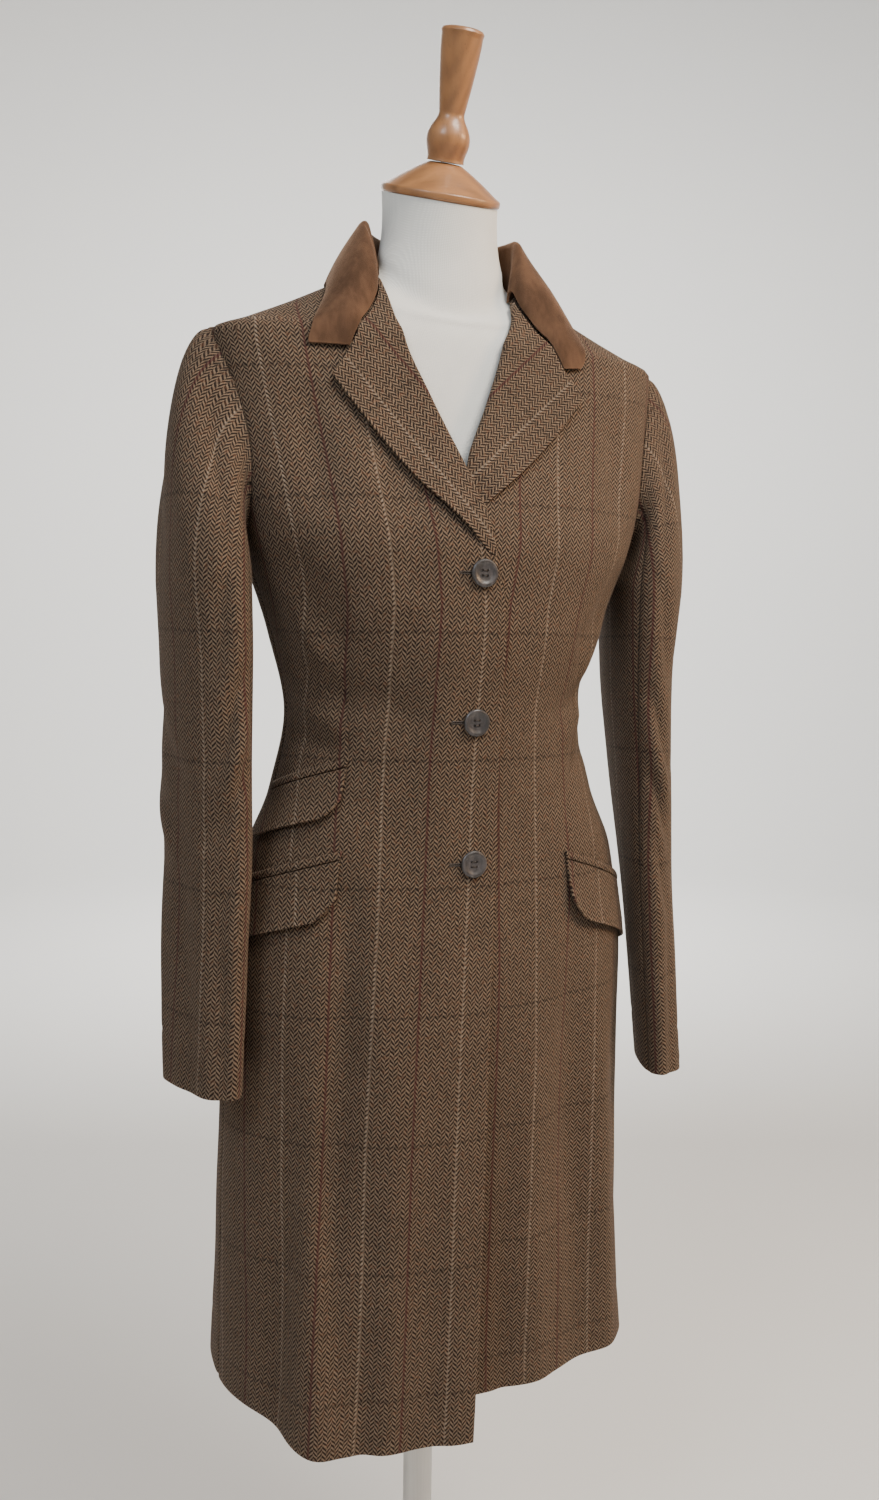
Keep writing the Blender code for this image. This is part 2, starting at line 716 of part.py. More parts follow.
def form_torso():
    """Padded body of the dress form, from its flat underside up to the tilted top of the neck."""
    piece = new_mesh("form_torso")
    rings = FORM_RINGS + NECK_RINGS

    def body(angle, below):
        ease = eased(EASE, EASE_NAMES, "ease", below)
        at = ring_point(angle, below) - ring_normal(angle, below) * ease
        at.x = min(max(at.x, -ARM_PLATE), ARM_PLATE)
        return at

    def place(column, ring):
        angle = 2.0 * math.pi * column / FORM_STEPS
        if ring == 0:
            at = body(angle, FORM_BOTTOM)
            at.z = NAPE - FORM_BOTTOM
            return at
        if ring <= FORM_RINGS:
            share = 1.0 - (1.0 - ring / FORM_RINGS) ** FORM_CROWDING
            return body(angle, FORM_BOTTOM + (FORM_SHOULDER - FORM_BOTTOM) * share)
        share = (ring - FORM_RINGS - 1) / (NECK_RINGS - 1)
        low = ring_point(angle, NECKLINE)
        axis = Vector((section("lean", NECKLINE), -AXIS_FORWARD, low.z))
        low = axis + (low - axis) * NECK_INSET
        round_neck = Vector((math.sin(angle), -math.cos(angle), 0.0)) * NECK_RADIUS
        high = neck_frame() @ round_neck
        mixed = low.lerp(high, share)
        middle = axis.lerp(NECK_TOP, share)
        middle.z = mixed.z
        return middle + (mixed - middle) * (1.0 - NECK_WAIST * math.sin(math.pi * share))

    bm = bmesh.new()
    bmesh.ops.create_grid(bm, x_segments=FORM_STEPS, y_segments=rings, size=0.5)
    for vert in bm.verts:
        vert.co = place(round((vert.co.x + 0.5) * FORM_STEPS), round((vert.co.y + 0.5) * rings))
    bmesh.ops.remove_doubles(bm, verts=bm.verts[:], dist=0.0001)
    bmesh.ops.holes_fill(bm, edges=[edge for edge in bm.edges if edge.is_boundary], sides=0)
    face_out(bm)
    bm.to_mesh(piece.data)
    bm.free()
    paint(piece, JERSEY, CLOTH_ROUGHNESS)


for old in list(bpy.data.objects):
    bpy.data.objects.remove(old, do_unlink=True)
coat_collection = bpy.data.collections.new("tweed_coat_on_dress_form")
cutter_collection = bpy.data.collections.new("cutters")
bpy.context.scene.collection.children.link(coat_collection)
bpy.context.scene.collection.children.link(cutter_collection)

# Body of the coat
front_panel("front_right", -1)
front_panel("front_left", 1)
back_panel("back_right", -1)
back_panel("back_left", 1)
lapel("lapel_right", -1)
lapel("lapel_left", 1)
collar("collar")

# Sleeves
for label, sign, cuff_below in (("right", -1, CUFF_RIGHT), ("left", 1, CUFF_LEFT)):
    sleeve_piece("top_sleeve_" + label, sign, cuff_below, HIND_SEAM - 360.0, FRONT_SEAM)
    sleeve_piece("under_sleeve_" + label, sign, cuff_below, FRONT_SEAM, HIND_SEAM, UNDER_SHORTER)

# Pockets and buttons
for row_of_pocket in POCKETS:
    pocket(*row_of_pocket)
for number, button_below in enumerate(BUTTONS_BELOW, start=1):
    button("button_" + str(number), button_below)

# Dress form and stand
form_torso()
turned("neck_cap", CAP_PROFILE, WOOD, WOOD_ROUGHNESS, neck_frame())
turned("finial", FINIAL_PROFILE, WOOD, WOOD_ROUGHNESS, neck_frame())
turned("pole", POLE_PROFILE, STEEL, STEEL_ROUGHNESS)
turned("base", BASE_PROFILE, WOOD, WOOD_ROUGHNESS)
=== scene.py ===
"""Dress the tweed coat and its dress form: cloth, sewing, buttons, wood, studio and camera.

Everything is in metres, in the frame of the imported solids: +Z up, the coat's front towards -Y and
the wearer's left towards +X. Lengths named "below" run down from the nape of the neck.
"""
import math

import bmesh
import bpy
import numpy as np
from bpy.props import FloatProperty, FloatVectorProperty, PointerProperty
from mathutils import Matrix, Vector


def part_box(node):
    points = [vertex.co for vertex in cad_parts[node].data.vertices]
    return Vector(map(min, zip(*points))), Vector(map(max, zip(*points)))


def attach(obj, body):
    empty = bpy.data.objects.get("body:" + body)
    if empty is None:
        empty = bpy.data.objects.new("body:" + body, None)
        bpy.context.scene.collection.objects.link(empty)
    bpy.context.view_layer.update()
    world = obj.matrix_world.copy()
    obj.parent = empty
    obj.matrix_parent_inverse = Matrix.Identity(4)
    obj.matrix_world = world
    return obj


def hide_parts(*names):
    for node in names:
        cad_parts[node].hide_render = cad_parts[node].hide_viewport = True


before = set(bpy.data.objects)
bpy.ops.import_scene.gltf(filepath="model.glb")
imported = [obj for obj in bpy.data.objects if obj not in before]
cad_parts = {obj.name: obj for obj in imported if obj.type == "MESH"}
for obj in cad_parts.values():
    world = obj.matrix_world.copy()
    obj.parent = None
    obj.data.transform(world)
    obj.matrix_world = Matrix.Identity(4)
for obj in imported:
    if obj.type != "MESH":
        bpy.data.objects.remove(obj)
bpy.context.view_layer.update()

bl_info = {
    "name": "Tweed Coat on a Dress Form",
    "version": (1, 0, 0),
    "blender": (4, 5, 0),
    "location": "3D View > Sidebar > Coat",
    "description": "Cloth, sewing and finishes for a herringbone coat that stands on a dress form",
    "category": "Object",
}

# Heights and cloth, as in the solids
FORM_BOTTOM = 0.700
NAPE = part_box("form_torso")[0].z + FORM_BOTTOM
HEM = 0.966
ARMPIT = 0.225
SHOULDER_TIP = 0.060
NECKLINE = -0.004
WALL = 0.0024
GAP = 0.0003
HALF_SEAM = 0.00015
SIDES = (("right", -1), ("left", 1))
LABELS = {side: label for label, side in SIDES}

# Rows of each panel: skirt and waist, armhole, shoulder
SKIRT_ROWS = 15
ARMHOLE_ROWS = 9
SHOULDER_ROWS = 4
ROW_CROWDING = 1.3
FINE_ROWS = (124, 46, 22)
FRONT_FINE = 80
BACK_FINE = 64
ARMHOLE_LEVEL = 0.6

# Inside of the coat, a ring per row; square is the power of the ring, 2 for an ellipse
SECTION_NAMES = ("below", "half_width", "front", "back", "square", "front_drop", "lean")
SECTIONS = (
    (-0.020, 0.058, 0.038, 0.050, 2.0, 0.036, 0.004),
    (-0.004, 0.069, 0.041, 0.056, 2.0, 0.034, 0.004),
    (0.013, 0.104, 0.045, 0.066, 2.1, 0.026, 0.006),
    (0.032, 0.143, 0.048, 0.077, 2.2, 0.016, 0.007),
    (0.048, 0.178, 0.051, 0.084, 2.3, 0.006, 0.007),
    (0.060, 0.204, 0.053, 0.090, 2.4, 0.0, 0.007),
    (0.100, 0.200, 0.063, 0.099, 2.5, 0.0, 0.008),
    (0.141, 0.195, 0.074, 0.103, 2.5, 0.0, 0.008),
    (0.190, 0.186, 0.091, 0.104, 2.5, 0.0, 0.007),
    (0.240, 0.171, 0.108, 0.101, 2.4, 0.0, 0.005),
    (0.300, 0.150, 0.107, 0.093, 2.2, 0.0, 0.003),
    (0.372, 0.134, 0.097, 0.087, 2.1, 0.0, 0.002),
    (0.440, 0.149, 0.094, 0.098, 2.1, 0.0, 0.003),
    (0.500, 0.173, 0.096, 0.113, 2.1, 0.0, 0.004),
    (0.600, 0.187, 0.105, 0.128, 2.1, 0.0, 0.002),
    (0.750, 0.190, 0.114, 0.134, 2.0, 0.0, 0.0),
    (1.000, 0.195, 0.125, 0.140, 2.0, 0.0, 0.0),
)
AXIS_FORWARD = 0.010
DROP_CURVE = 1.5
# Steps, in angle and in length, over which a normal is taken
NORMAL_STEPS = (0.02, 0.002)

# Soft flutes of the skirt: degrees from the front towards the wearer's left, spread, swell
FLUTES = (
    (-42.0, 15.0, 0.024),
    (28.0, 13.0, -0.010),
    (64.0, 14.0, 0.009),
    (112.0, 15.0, 0.010),
    (-115.0, 15.0, 0.010),
    (146.0, 13.0, -0.008),
    (-148.0, 13.0, -0.008),
    (180.0, 14.0, 0.010),
)
FLUTE_TOP = 0.52
FLUTE_CURVE = 1.3

# Front edges, in distances past the middle of the front
BREAK = 0.246
FRONT_EDGE = (
    (-0.020, 0.060, 0.060),
    (-0.004, 0.060, 0.059),
    (0.030, 0.0572, 0.0502),
    (0.066, 0.0515, 0.0405),
    (0.110, 0.035, 0.023),
    (0.178, 0.007, -0.006),
    (0.215, -0.005, -0.013),
    (0.246, -0.012, -0.018),
    (0.275, -0.019, -0.018),
    (0.360, -0.023, -0.018),
    (0.450, -0.022, -0.018),
    (0.600, -0.0145, -0.018),
    (0.740, -0.0065, -0.018),
    (1.000, 0.008, -0.018),
)
LAP_FULL = 0.024
LAP_NONE = 0.062
LAP_LIFT = WALL + 0.0012
KICK_TOP = 0.56
KICK_WIDE = 0.12
RIGHT_KICK = 0.010
LEFT_TUCK = -0.024
RIGHT_DIP = 0.018
LEFT_DIP = 0.003
DIP_SHARES = (0.25, 0.70)

# Lapels and collar
NOTCH = (0.096, 0.076)
LAPEL_TIP = (0.111, 0.100)
LAPEL_NOTCH = 0.6
LAPEL_TOP = NECKLINE + 0.003
LAPEL_BELLY = 0.004
ROLL_FOOT_RIGHT = BREAK - 0.006
FREE_FOOT_RIGHT = (-0.005, BREAK - 0.008)
ROLL_FOOT_LEFT = (-0.0030, 0.1745)
FREE_FOOT_LEFT = (0.0050, 0.2000)
LAPEL_CLEAR = 0.0016
LAPEL_LIFT = 0.0016
LIFT_ACROSS = (0.2, 1.0)
LIFT_ALONG = (0.0, 0.25)
ROLL_STEP = 0.01
LAPEL_FLAT = 0.14
ROLL_TURN = math.radians(165.0)
ROLL_FINE = 9
LAPEL_FINE = (30, 56)
LAPEL_FOOT = 0.12
LEAST_CUT = 0.3
COLLAR_CORNERS = {-1: (0.128, 0.073), 1: (0.113, 0.071)}
COLLAR_NAMES = ("station", "round_neck", "edge_angle", "edge_below", "rise")
COLLAR = (
    (0.00, 0.00, 180.0, 0.014, 0.038),
    (0.25, 0.25, 150.0, 0.013, 0.039),
    (0.50, 0.53, 117.0, 0.012, 0.040),
    (0.72, 0.79, 85.0, 0.014, 0.037),
    (0.88, 0.93, 59.0, 0.032, 0.022),
    (1.00, 1.00, 44.0, 0.060, 0.004),
)
STAND_STEPS = 2
FALL_STEPS = (0.0, 0.08, 0.16, 0.25, 0.34, 0.43, 0.52, 0.59, 0.62, 0.65, 0.72, 0.80, 0.88, 0.95, 1.0)
FALL_CURVE = 1.7
ROLL_RISE = 0.0035
STAND_INSIDE = GAP + 0.7 * WALL
BEND_STATION = 0.74
NOTCH_SHARE = 0.62
GORGE_GAP = 0.0005
COLLAR_CLEAR = 0.0019
COLLAR_FINE = 141

# Armhole and two-piece sleeve
ARMHOLE_MIDDLE = (ARMPIT + SHOULDER_TIP) / 2
ARMHOLE_RISE = (ARMPIT - SHOULDER_TIP) / 2
ARMHOLE_FRONT = 0.034
ARMHOLE_BACK = 0.054
ARMHOLE_SAG = 0.45
CAP_RINGS = 6
ARM_RINGS = 10
BICEPS = 0.262
FRONT_SEAM = 120.0
HIND_SEAM = 280.0
UNDER_SHORTER = 0.006
SEAM_TRIM = 0.42
SLEEVE_NAMES = (
    "below", "out_right", "out_left", "forward", "half_thick", "half_deep", "turn_right", "turn_left",
)
SLEEVE = (
    (0.262, 0.2080, 0.2075, 0.018, 0.0315, 0.066, 12.0, 12.0),
    (0.330, 0.2060, 0.2080, 0.018, 0.0290, 0.065, 14.0, 14.0),
    (0.420, 0.2060, 0.2120, 0.022, 0.0260, 0.062, 16.0, 17.0),
    (0.560, 0.2100, 0.2210, 0.034, 0.0230, 0.055, 19.0, 25.0),
    (0.720, 0.2160, 0.2300, 0.048, 0.0215, 0.047, 20.0, 29.0),
)
CUFFS = {-1: 0.680, 1: 0.713}
HEAD_OUT = 0.012
HEAD_OUT_TOP = 0.085
HEAD_FORWARD = 0.020
HEAD_DOWN = 0.030
HEAD_DOWN_TOP = -0.004
HEAD_ARRIVE = 1.1
HEAD_ARRIVE_LEAST = 0.020
HEAD_CROWDING = 1.25
ARM_ROUND = 0.046
SLEEVE_LINE = 100.0
SLEEVE_COLUMN = 3.4
HEAD_FINE = 40
HEAD_FINE_CROWDING = 1.15
ARM_FINE = 116
BELOW_HEAD = 60
ON_ARM = 90
ARM_MIDDLE = (0.208, -0.03)
# Rows of the sleeve head under the seam: share by which each laps past the armhole's edge, and its depth
HEAD_LAPS = ((0.045, 0.0002), (0.030, 0.0013), (0.015, 0.0027))
LAP_SWING = 0.35
# Roll of the sleeve head: height, distance from the seam, spread
HEAD_ROLL = (0.0008, 0.006, 0.008)
# Degrees between which the sleeve's inner side is smooth, and rings over which creases set in
INNER_CALM = ((128.0, 150.0), (205.0, 225.0))
HEAD_CALM = (0.4, 2.4)

# Pockets: name, side, front end across, top below, end in degrees, drop to the end, flap height
POCKETS = (
    ("ticket_right", -1, 0.098, 0.406, 86.0, 0.026, 0.040),
    ("right", -1, 0.105, 0.482, 84.0, 0.030, 0.047),
    ("left", 1, 0.093, 0.491, 84.0, 0.046, 0.051),
)
WELT_HIGH = 0.008
FLAP_THICK = 0.0022
FLAP_CLEAR = 0.0007
CORNER_WIDE = 0.16
CORNER_CUT = 0.34
FLAP_FINE = (44, 22)
WELT_FINE = 7
WELT_BULGE = 0.0012
FLAP_END_HELD = 0.85

# Buttons and buttonholes
BUTTONS_BELOW = (0.254, 0.3755, 0.495)
BUTTON_RADIUS = 0.0115
BUTTON_CLEAR = 0.0006
BUTTON_SOFT = 0.0002
BUTTON_SHARP = math.radians(40.0)
# Profile of a button: share of its radius, height
BUTTON_PROFILE = (
    (0.0, 0.00205), (0.45, 0.0021), (0.60, 0.0024), (0.72, 0.0031), (0.82, 0.0034), (0.92, 0.0032),
    (0.985, 0.0025), (1.0, 0.0018), (0.985, 0.0010), (0.86, 0.0), (0.0, 0.0),
)
HOLE_RADIUS = 0.0010
HOLE_OFFSET = 0.0021
HOLE_DEEP = 0.012
HOLE_STEPS = 20
SLIT_FROM = 0.002
SLIT_TO = 0.0205
SLIT_HALF = 0.0008
SLIT_FINE = (24, 9)
SLIT_FLOOR = 0.6
SLIT_FLOOR_FINE = 12
SLIT_ABOVE = 0.00012
SLIT_THICK = 0.0002
PURL_RADIUS = 0.00055
PURL_SUNK = 0.25
PURL_BEAT = (0.22, 2.4)
THREAD_RADIUS = 0.00042
THREAD_FINE = 13
THREAD_UP = (0.0, 0.35, 1.0)
THREAD_TOP = 0.0026
THREAD_DIP = 0.0018

# Dress form and stand; the form keeps an ease from the coat that goes by the distance below the nape
EASE = (
    (-0.020, 0.0006),
    (0.036, 0.0006),
    (0.050, 0.0020),
    (0.090, 0.0060),
    (0.160, 0.0100),
    (0.372, 0.0100),
    (0.500, 0.0160),
    (0.620, 0.0220),
    (0.720, 0.0280),
)
# More ease at the foot of the neck: amount, middle, spread
NECK_EASE = (0.0016, 0.034, 0.018)
ARM_PLATE = 0.158
FORM_RINGS = 20
FORM_SHOULDER = 0.010
FORM_CROWDING = 1.35
NECK_INSET = 0.90
NECK_WAIST = 0.07
NECK_RINGS = 5
NECK_TILT = math.radians(22.0)
NECK_TOP = Vector((0.004, -0.004, NAPE + 0.076))
NECK_RADIUS = 0.0515
# Turned wood: radius and height over the top of the neck, and stretch of the grain
CAP_DOME = (
    (0.0, 0.0300), (0.0120, 0.0297), (0.0190, 0.0272), (0.0340, 0.0185), (0.0460, 0.0105), (0.0525, 0.0066),
)
CAP_RIM = ((0.0530, 0.0056), (0.0530, 0.0020), (0.0515, GAP), (0.0, GAP))
KNOB_TOP = ((0.0, 0.1305), (0.0140, 0.1303), (0.0172, 0.1292), (0.0185, 0.1272))
KNOB_SIDE = (
    (0.0178, 0.1245), (0.0170, 0.1120), (0.0145, 0.0910), (0.0118, 0.0720), (0.0112, 0.0670),
    (0.0128, 0.0625), (0.0160, 0.0575), (0.0185, 0.0515), (0.0190, 0.0455), (0.0180, 0.0405),
    (0.0168, 0.0365), (0.0162, 0.0330), (0.0165, 0.0304),
)
KNOB_FOOT = (0.0, 0.0303)
UPRIGHT_GRAIN = (1.0, 1.0, 0.10)
LEVEL_GRAIN = (0.10, 1.0, 1.0)
POLE_CHAMFER = 0.0010
BASE_CHAMFER = 0.002
BASE_SHOULDER = (0.012, 0.009)
BASE_FLAT = 0.055
SHOULDER_FINE = 9
FORM_STEPS = 96
FORM_SHARP = math.radians(50.0)
FORM_FINE = 5
TURNED_STEPS = 96
MERGE = 0.00002

# Creases: across and below of one end, then of the other, half width, and depth (below 0 for a trough).
# Those of the fronts run in distances from the middle of the front.
FRONT_CREASES = {
    -1: (
        (0.185, 0.235, 0.095, 0.320, 0.016, -0.0034),
        (0.180, 0.275, 0.110, 0.345, 0.012, 0.0022),
        (0.175, 0.330, 0.080, 0.362, 0.010, -0.0026),
        (0.170, 0.362, 0.095, 0.384, 0.009, 0.0024),
        (0.168, 0.392, 0.110, 0.398, 0.008, -0.0022),
        (0.025, 0.262, 0.115, 0.300, 0.010, 0.0016),
        (0.030, 0.376, 0.105, 0.352, 0.011, -0.0015),
        (0.150, 0.105, 0.125, 0.215, 0.015, -0.0030),
        (0.120, 0.120, 0.085, 0.225, 0.018, 0.0020),
        (0.112, 0.500, 0.122, 0.960, 0.014, -0.0085),
        (0.074, 0.580, 0.068, 1.120, 0.022, 0.0050),
        (0.166, 0.640, 0.178, 1.080, 0.020, -0.0060),
        (0.136, 0.740, 0.140, 1.180, 0.015, 0.0050),
        (0.034, 0.640, 0.028, 1.200, 0.013, -0.0026),
        (0.096, 0.720, 0.102, 1.160, 0.009, -0.0022),
    ),
    1: (
        (0.180, 0.240, 0.100, 0.315, 0.015, -0.0030),
        (0.172, 0.285, 0.105, 0.350, 0.011, 0.0020),
        (0.165, 0.345, 0.075, 0.368, 0.010, -0.0026),
        (0.160, 0.372, 0.090, 0.392, 0.009, 0.0022),
        (0.165, 0.408, 0.100, 0.418, 0.009, -0.0018),
        (0.150, 0.100, 0.128, 0.210, 0.015, -0.0028),
        (0.110, 0.540, 0.118, 1.060, 0.020, -0.0072),
        (0.190, 0.570, 0.202, 1.040, 0.018, -0.0060),
        (0.066, 0.620, 0.074, 1.200, 0.018, 0.0042),
        (0.150, 0.600, 0.158, 1.120, 0.015, 0.0040),
        (0.036, 0.700, 0.040, 1.160, 0.010, -0.0022),
    ),
}
# Creases of the backs, in distances from the middle of the back
BACK_CREASES = {
    -1: (
        (0.018, 0.320, 0.130, 0.338, 0.010, 0.0028),
        (0.014, 0.345, 0.120, 0.360, 0.009, -0.0030),
        (0.020, 0.374, 0.135, 0.380, 0.010, 0.0024),
        (0.150, 0.225, 0.070, 0.310, 0.016, -0.0032),
        (0.135, 0.150, 0.060, 0.235, 0.018, 0.0022),
        (0.050, 0.560, 0.055, 1.150, 0.018, -0.0050),
        (0.120, 0.600, 0.132, 1.120, 0.020, 0.0050),
        (0.175, 0.560, 0.190, 1.140, 0.016, -0.0050),
    ),
    1: (
        (0.016, 0.326, 0.120, 0.334, 0.010, 0.0026),
        (0.020, 0.352, 0.132, 0.364, 0.009, -0.0030),
        (0.012, 0.381, 0.118, 0.392, 0.010, 0.0022),
        (0.155, 0.232, 0.080, 0.300, 0.015, -0.0030),
        (0.130, 0.140, 0.070, 0.240, 0.019, 0.0024),
        (0.062, 0.580, 0.066, 1.150, 0.019, -0.0048),
        (0.128, 0.570, 0.140, 1.140, 0.018, 0.0046),
        (0.182, 0.600, 0.194, 1.120, 0.016, -0.0046),
    ),
}
# Creases of the sleeves, in degrees round the arm (0 outwards, 90 forwards) and below the nape
SLEEVE_CREASES = {
    -1: (
        (62.0, 0.085, 78.0, 0.250, 0.012, -0.0042),
        (25.0, 0.090, 38.0, 0.300, 0.014, 0.0026),
        (-28.0, 0.095, -18.0, 0.290, 0.014, -0.0030),
        (100.0, 0.230, 45.0, 0.345, 0.011, -0.0036),
        (112.0, 0.330, 40.0, 0.420, 0.010, -0.0042),
        (108.0, 0.372, 52.0, 0.452, 0.009, 0.0030),
        (112.0, 0.408, 30.0, 0.478, 0.010, -0.0040),
        (104.0, 0.455, 48.0, 0.530, 0.010, -0.0030),
        (-60.0, 0.340, 10.0, 0.440, 0.013, -0.0026),
        (-64.0, 0.420, 0.0, 0.505, 0.011, 0.0024),
        (58.0, 0.470, 66.0, 0.760, 0.012, -0.0034),
        (5.0, 0.430, 12.0, 0.760, 0.014, -0.0030),
        (-40.0, 0.500, -36.0, 0.770, 0.012, 0.0022),
        (250.0, 0.330, 210.0, 0.430, 0.010, -0.0030),
        (256.0, 0.420, 205.0, 0.490, 0.010, -0.0026),
    ),
    1: (
        (66.0, 0.085, 80.0, 0.240, 0.012, -0.0040),
        (20.0, 0.095, 34.0, 0.320, 0.014, 0.0026),
        (-24.0, 0.090, -20.0, 0.280, 0.014, -0.0028),
        (104.0, 0.240, 50.0, 0.350, 0.011, -0.0034),
        (112.0, 0.345, 36.0, 0.432, 0.010, -0.0040),
        (106.0, 0.390, 50.0, 0.468, 0.009, 0.0028),
        (110.0, 0.424, 34.0, 0.500, 0.010, -0.0038),
        (100.0, 0.480, 46.0, 0.560, 0.010, -0.0028),
        (-58.0, 0.350, 8.0, 0.452, 0.013, -0.0026),
        (-62.0, 0.440, 2.0, 0.520, 0.011, 0.0022),
        (54.0, 0.490, 60.0, 0.800, 0.012, -0.0032),
        (0.0, 0.450, 10.0, 0.800, 0.014, -0.0028),
        (250.0, 0.340, 212.0, 0.440, 0.010, -0.0028),
        (254.0, 0.430, 206.0, 0.500, 0.010, -0.0024),
    ),
}
# Waist darts of the fronts, as points across and below
DARTS = {
    -1: ((0.109, 0.277), (0.102, 0.349), (0.099, 0.404)),
    1: ((0.108, 0.292), (0.118, 0.378), (0.095, 0.488)),
}
DART_SOFT = 0.0040
DART_DIP = 0.0011
SEAM_SOFT = 0.0026
HEM_TURN = 0.040
HEM_DIP = 0.0006
HEM_SOFT = 0.003
FAR = 0.05
# How a crease fades at its ends and how it wavers: share of its width, turns, start
CREASE_FADE = 0.8
CREASE_WAVER = (0.35, 5.0, 40.0)
# Waviness of the cloth: share, waves across, waves down, start
UNEVEN = 0.00035
WAVES = ((1.0, 41.0, 17.0, 0.6), (1.0, 23.0, -31.0, 2.1), (0.6, 67.0, 53.0, 0.0))
# Places between which creases and seam dips set in: from the front edge, the middle back and the neck
EDGE_CALM = (0.012, 0.055)
BACK_CALM = (0.0, 0.030)
NECK_CALM = (0.05, 0.10)
DIP_FADE = (0.045, 0.100)
# Part of a panel that keeps its place when it is laid flat
ALIGN_ACROSS = 0.09
ALIGN_BELOW = (0.28, 0.92)
ALIGN_RINGS = (CAP_RINGS + 1.0, CAP_RINGS + 9.0)
PANEL_ROUNDS = 320
SLEEVE_ROUNDS = 1500
THREAD_PULL = 0.15

# Lean of the fronts' grain towards the side, above the bust and below the waist
BUST = 0.280
WAIST = 0.360
BUST_LEAN = 0.13
SKIRT_LEAN = {-1: 0.051, 1: 0.0}

# Where the overcheck's lines fall: distance of the first cream line from each piece's middle line
CHECK_DOWN = 0.196
CHECK_ACROSS = {"front_right": 0.0, "front_left": 0.0155, "back_right": 0.018, "back_left": 0.018}

# Studio: name, setting of its power, place, aim, size and colour of each light
LIGHTS = (
    ("key", "key", (0.70, -1.40, 3.00), (0.0, 0.0, 1.2), 1.1, (1.0, 0.95, 0.87)),
    ("cool", "cool", (-1.5, -1.5, 2.5), (-0.1, 0.0, 1.3), 0.9, (0.78, 0.89, 1.0)),
    ("warm", "fill", (1.9, -1.0, 2.1), (0.1, 0.0, 1.25), 0.7, (1.0, 0.64, 0.34)),
    ("back", "back", (0.4, 2.6, 2.6), (0.0, 0.0, 1.1), 2.0, (1.0, 0.98, 0.95)),
    ("backdrop", "backdrop", (0.9, 2.3, 3.0), (2.2, 6.0, 1.6), 2.5, (1.0, 0.99, 0.97)),
)
SENSOR = 36.0
NEAR_CLIP = 0.05
FLOOR_FLAT = 4.5
FLOOR_CURVE = 2.0
FLOOR_TURNS = (0.1, 1.5, 12)
FLOOR_TOP = 9.0
FLOOR_MERGE = 0.0001


# Settings

def length_setting(name, text, default, low, high):
    return FloatProperty(
        name=name, description=text, default=default, min=low, max=high, precision=4, unit="LENGTH",
    )


def colour_setting(name, text, default):
    return FloatVectorProperty(
        name=name, description=text, default=default, min=0.0, max=1.0, subtype="COLOR",
    )


def power_setting(name, text, default):
    return FloatProperty(name=name, description=text, default=default, min=0.0, unit="POWER")


def angle_setting(name, text, degrees):
    return FloatProperty(
        name=name, description=text, default=math.radians(degrees), subtype="ANGLE", unit="ROTATION",
    )


class CoatCloth(bpy.types.PropertyGroup):
    """Sizes of the cloth and of its sewing"""

    wall: length_setting("Cloth thickness", "Thickness of the tweed and the velvet", WALL, 0.001, 0.003)
    crease: FloatProperty(
        name="Creases", description="Share of each crease's depth in the tables",
        default=1.4, min=0.0, max=2.0, subtype="FACTOR",
    )
    seam_dip: length_setting("Seam dip", "How far the cloth sinks into a seam", 0.0010, 0.0, 0.003)
    edge_round: length_setting("Edge rounding", "Radius of the turned edges", 0.0007, 0.0001, 0.001)
    flap_lift: length_setting(
        "Flap lift", "How far a pocket flap's lower edge stands off the coat", 0.0052, 0.0, 0.01,
    )


class CoatWeave(bpy.types.PropertyGroup):
    """Sizes and colours of the herringbone and its overcheck"""

    column: length_setting("Column", "Width of one column of the herringbone", 0.0035, 0.001, 0.02)
    pitch: length_setting("Twill pitch", "Distance down from one twill line to the next", 0.0038, 0.001, 0.01)
    check_across: length_setting("Check width", "Distance between cream lines", 0.075, 0.02, 0.2)
    check_down: length_setting("Check height", "Distance between dark lines", 0.106, 0.02, 0.2)
    light: colour_setting("Light yarn", "Colour of the tan yarn", (0.182, 0.126, 0.084))
    dark: colour_setting("Dark yarn", "Colour of the brown yarn", (0.0135, 0.0088, 0.0074))
    red: colour_setting("Red line", "Colour of the overcheck's red lines", (0.050, 0.010, 0.012))
    cream: colour_setting("Cream line", "Colour of the overcheck's dotted lines", (0.42, 0.33, 0.25))
    black: colour_setting("Dark line", "Colour of the overcheck's level lines", (0.008, 0.006, 0.0055))


class CoatTrim(bpy.types.PropertyGroup):
    """Colours of the collar, buttons, form and stand"""

    velvet: colour_setting("Velvet", "Colour of the collar", (0.098, 0.052, 0.030))
    horn: colour_setting("Horn", "Colour of the buttons", (0.036, 0.031, 0.031))
    thread: colour_setting("Thread", "Colour of the sewing thread", (0.030, 0.020, 0.014))
    jersey: colour_setting("Jersey", "Colour of the form's cover", (0.76, 0.75, 0.71))
    beech: colour_setting("Beech", "Colour of the turned wood", (0.31, 0.140, 0.052))
    steel: colour_setting("Steel", "Colour of the pole", (0.56, 0.55, 0.53))


